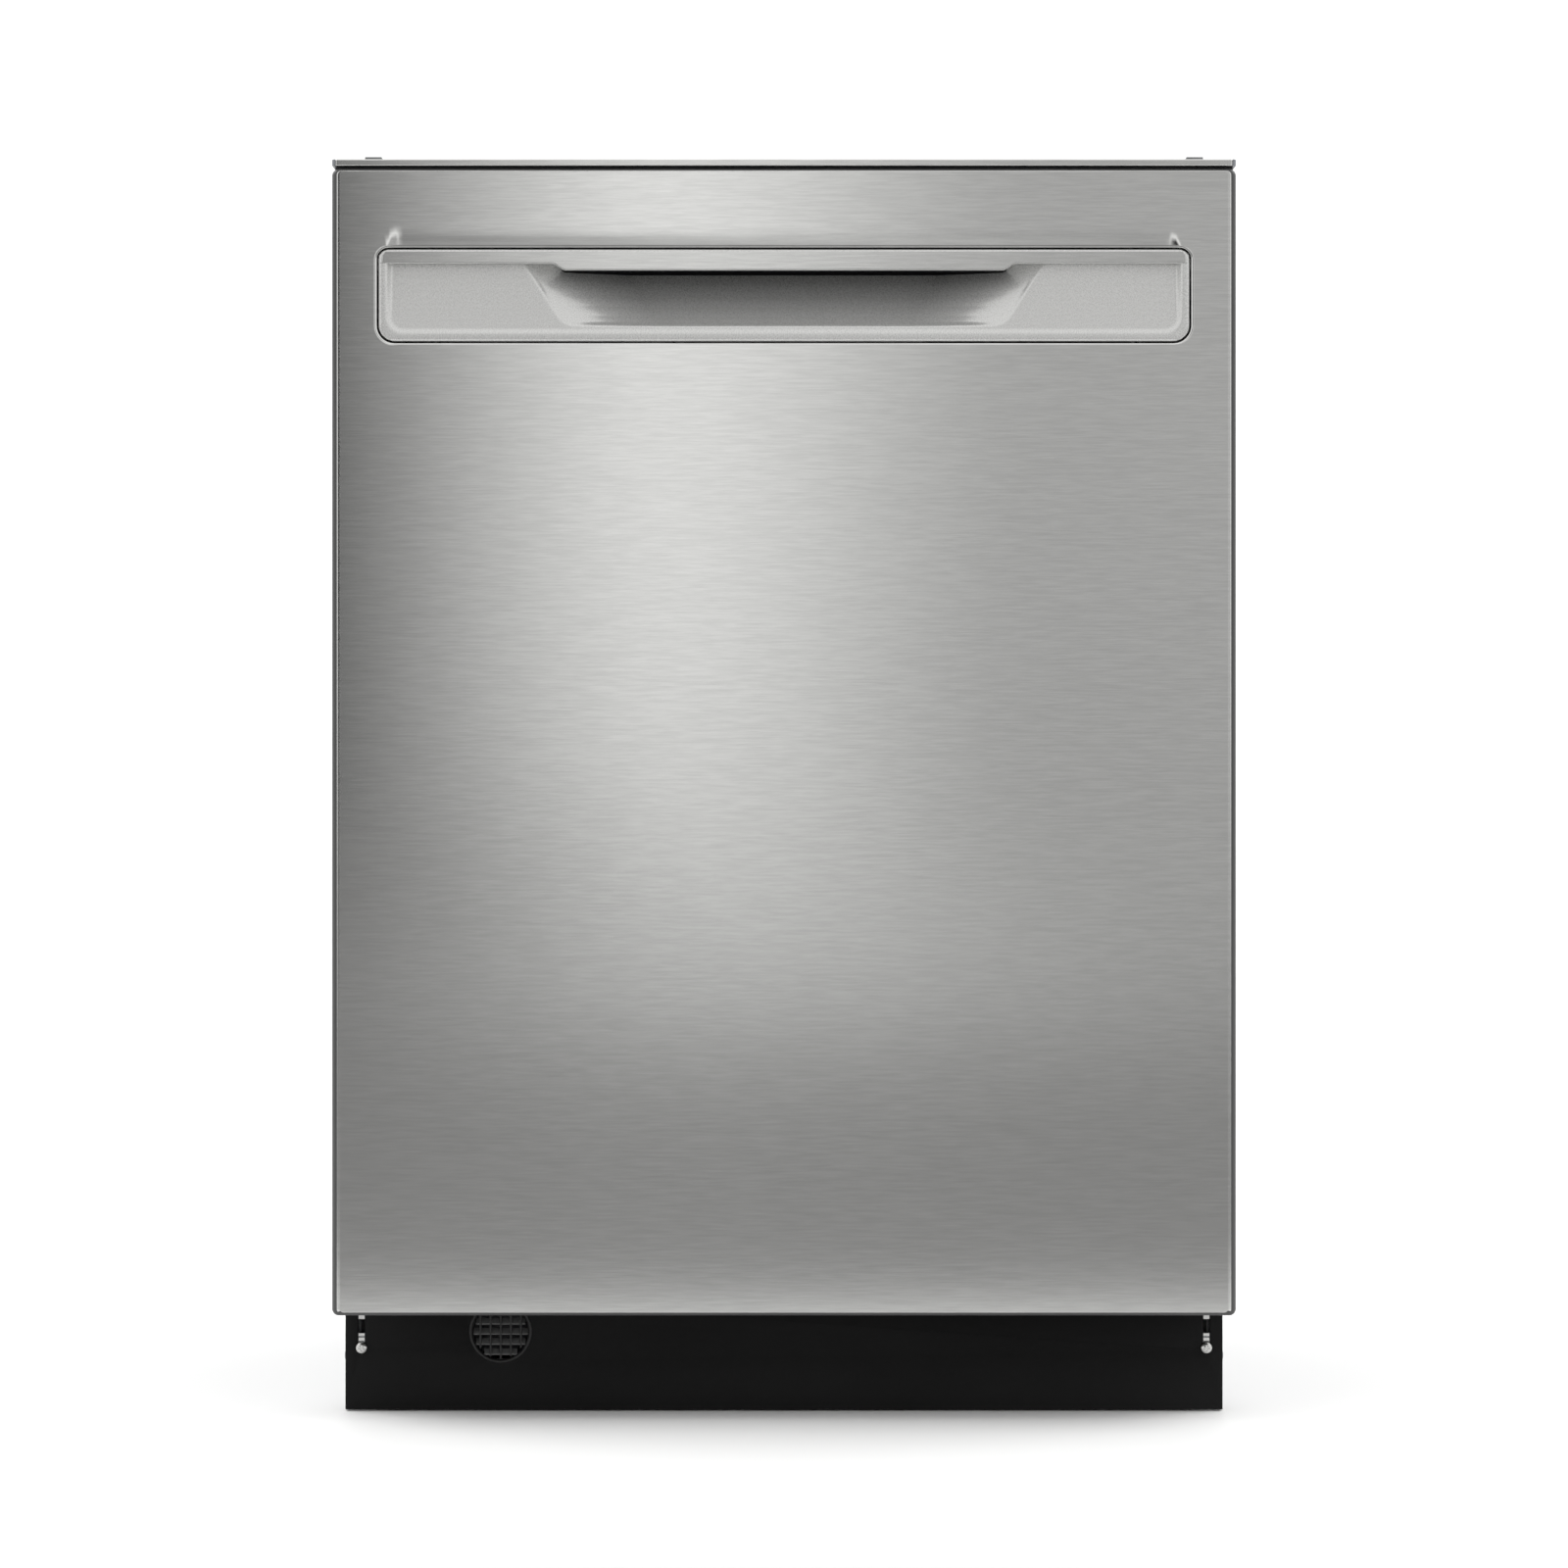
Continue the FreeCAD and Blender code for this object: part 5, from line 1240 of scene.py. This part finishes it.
def cutlery_basket():
    """Moulded lattice basket with solid rims, dividers and a lifting handle."""
    low, high = node_box("silverware_basket")
    x, y0, y1, z0, z1 = high.x - 1, low.y + 1, high.y - 1, low.z + 1, low.z + 122
    middle = (y0 + y1) / 2
    wide, deep, tall = (2 * x, 0, 0), (0, y1 - y0, 0), (0, 0, z1 - z0 - 6)
    places = evenly(-x, x, 6)
    panels = [lattice((-x, y0, z0), wide, deep)]
    panels += [lattice((-x, y, z0), wide, tall) for y in (y0, y1, middle)]
    panels += [lattice((at, y0, z0), deep, tall) for at in places]
    body = piece("cutlery_lattice", merge(*panels), "silverware_basket")
    bars = body.modifiers.new("bars", "WIREFRAME")
    bars.thickness = 1.9 * MM
    bars.use_even_offset = False
    bars.use_boundary = True
    rims = [slab(-x - 1, x + 1, y - 1, y + 1, z1 - 7, z1) for y in (y0, y1, middle)]
    rims += [slab(at - 1, at + 1, y0, y1, z1 - 7, z1) for at in places]
    rims += [slab(at - 1, at + 1, y - 1, y + 1, z0 - 1, z1) for at in (-x, x) for y in (y0, y1)]
    piece("cutlery_rims", merge(*rims), "silverware_basket", replaces=False, edge=0.5)
    foot, top = z1 - 4, high.z - 4
    grip = rounded([(-52, middle, foot), (-52, middle, top), (52, middle, top), (52, middle, foot)], 12)
    wires("cutlery_handle", [grip], 4.0, "silverware_basket", replaces=False, sides=4)


# ---- console ----
def console_lamps():
    """Small indicator dots beside the buttons, and a plain display window."""
    deck = node_box("control_console")[1].z
    dots = []
    for name in BUTTONS:
        x, y = node_middle(name)[0], node_box(name)[1].y + 4.0
        for step in (-5, 0, 5):
            dots.append(turned([(1.1, -0.2), (1.1, 0.12), (0.7, 0.2)], (x + step, y, deck), "Z", 16))
    piece("indicator_dots", merge(*dots), "control_console", slot="white_plastic", replaces=False)
    glass = slab(-46, 46, BUTTON_MIDDLE - 5.5, BUTTON_MIDDLE + 5.5, deck - 0.3, deck + 0.2)
    piece("display_window", glass, "control_console", slot="display_glass", replaces=False, edge=0.2)


# ---- nodes kept in their own shape, and the width of their rounded edges ----
REFINED = {
    "control_console": 0.5, **dict.fromkeys(BUTTONS, 0.25), "control_board": 0.15, "latch_housing": 0.5,
    "latch_hook": 0.25, "latch_strike": 0.3, "dispenser_body": 0.8, "dispenser_lid": 0.9,
    "rinse_aid_cap": 0.7, "door_vent_grille": 0.6, "hinge_arms": 0.6, "hinge_brackets": 0.6,
    "mounting_brackets": 0.25, "base_frame": 0.4, "base_pan": 0.4, "toe_kick": 0.35, "sump": 0.7,
    "inlet_valve": 1.2, "junction_box": 1.0, "spray_feed_tube": 2.5, "track_guides": 0.9,
    "upper_tracks": 0.35, "mid_spray_manifold": 1.6, "cup_shelf_left": 1.0, "cup_shelf_right": 1.0,
}


def all_pieces():
    """Every piece of the machine, from the door to the racks."""
    door_skin()
    rise_shell(handle_insert())
    for make in (top_trim, toe_vent, toe_screws, rail_bolts, slot_clips, door_liner, sound_mats, door_filling,
                 wash_tub, gasket, wash_pump, drain_pump, levelling_legs, strainer, float_dome):
        make()
    spray_arm("lower_spray_arm")
    spray_arm("mid_spray_arm")
    heating_loop()
    balance_springs()
    rack("lower_rack", floor=200, rims=(236, 330), tine_xs=(-184, -92, 31, 123, 184), tine_rows=slice(3, 10),
         tine_top=285)
    rack("upper_rack", floor=490, rims=(526, 600), tine_xs=(-123, -61, 61, 123), tine_rows=slice(1, 10),
         tine_top=540)
    for make in (wheel_hangers, rack_wheels, cutlery_basket, console_lamps):
        make()
    for node, width in REFINED.items():
        refine(node, width, slot="dull_zinc" if node == "mounting_brackets" else None)


# ---- stage ----
def side_panel(scene, side):
    """Square soft light above and behind the door's plane, on one side."""
    light = bpy.data.lights.new("side_panel", "AREA")
    light.shape = "RECTANGLE"
    light.size = LAMP_SIZE
    light.size_y = LAMP_SIZE
    light.energy = LAMP_POWER
    obj = bpy.data.objects.new("side_panel", light)
    obj.location = (side * LAMP_PLACE[0], LAMP_PLACE[1], LAMP_PLACE[2])
    obj.rotation_euler = (Vector(LAMP_TARGET) - obj.location).to_track_quat("-Z", "Y").to_euler()
    scene.collection.objects.link(obj)


def studio_floor(scene):
    """Pale sweep with painted shade: it darkens in front of the machine, grows paler again far in front of it
    and stays darker towards the sides there, most to the left, a painted pool of light.
    """
    mesh = bpy.data.meshes.new("floor")
    corners = [(x * FLOOR_REACH, y * FLOOR_REACH, 0) for x, y in ((-1, -1), (1, -1), (1, 1), (-1, 1))]
    mesh.from_pydata(corners, [], [(0, 1, 2, 3)])
    paint = Paint("floor_painted_shade", (0.96, 0.96, 0.96), 0.0, 0.6)
    x, y, _ = shader_node(paint, "SeparateXYZ", {"Vector": paint.place})
    near = ramp(paint, y, *NEAR_FADE, FLOOR_FRONT, 1.0)
    far = ramp(paint, y, *FAR_FADE, FLOOR_FAR, 0.0)
    left, right = ramp(paint, x, *LEFT_FADE, FLOOR_LEFT, 1.0), ramp(paint, x, *RIGHT_FADE, 1.0, FLOOR_RIGHT)
    far = combine(paint, "MULTIPLY", far, combine(paint, "MULTIPLY", left, right))
    # painted shade: the floor's own colour, not a lamp, makes the dim band in front and the darker sides
    shade = combine(paint, "MAXIMUM", near, far)
    paint.between(shade, (0, 0, 0), paint.color)
    mesh.materials.append(paint.material)
    floor = bpy.data.objects.new("floor", mesh)
    scene.collection.objects.link(floor)


def studio_world(scene):
    """White studio: bright behind and overhead, dim in front but for a soft upright light and two wings."""
    world = bpy.data.worlds.new("studio")
    world.use_nodes = True
    scene.world = world
    tree = world.node_tree
    x, y, z = shader_node(tree, "SeparateXYZ", {"Vector": shader_node(tree, "TexCoord", {})["Generated"]})
    left, right = ramp(tree, x, *COLUMN_LEFT, 0.0, 1.0), ramp(tree, x, *COLUMN_RIGHT, 1.0, FRONT_RIGHT)
    strength = combine(tree, "MULTIPLY", left, right)
    strength = combine(tree, "MULTIPLY", strength, ramp(tree, z, *COLUMN_FOOT, FRONT_LOW, FRONT_HIGH))
    left_wing = [-share for share in WING_RISE]
    for value, rise, full in ((x, WING_RISE, WINGS), (x, left_wing, WINGS), (y, BACK_RISE, AROUND),
                              (z, TOP_RISE, AROUND)):
        strength = combine(tree, "MAXIMUM", strength, ramp(tree, value, *rise, 0.0, full))
    background = tree.nodes["Background"]
    tree.links.new(strength, background.inputs["Strength"])
    background.inputs["Color"].default_value = (1, 1, 0.995, 1)


def camera_ahead(scene):
    """Camera straight in front of the door."""
    camera = bpy.data.cameras.new("camera")
    camera.sensor_width = SENSOR
    camera.lens = SENSOR * CAMERA_DISTANCE / FRAME_WIDTH
    view = bpy.data.objects.new("camera", camera)
    view.location = (0, PANEL_FRONT * MM - CAMERA_DISTANCE, CAMERA_HEIGHT)
    view.rotation_euler = (QUARTER, 0, 0)
    scene.collection.objects.link(view)
    scene.camera = view


def stage():
    """Camera, floor and lights."""
    scene = bpy.context.scene
    scene.view_settings.view_transform = "Standard"
    camera_ahead(scene)
    studio_floor(scene)
    studio_world(scene)
    for side in SIDES:
        side_panel(scene, side)


all_pieces()
stage()
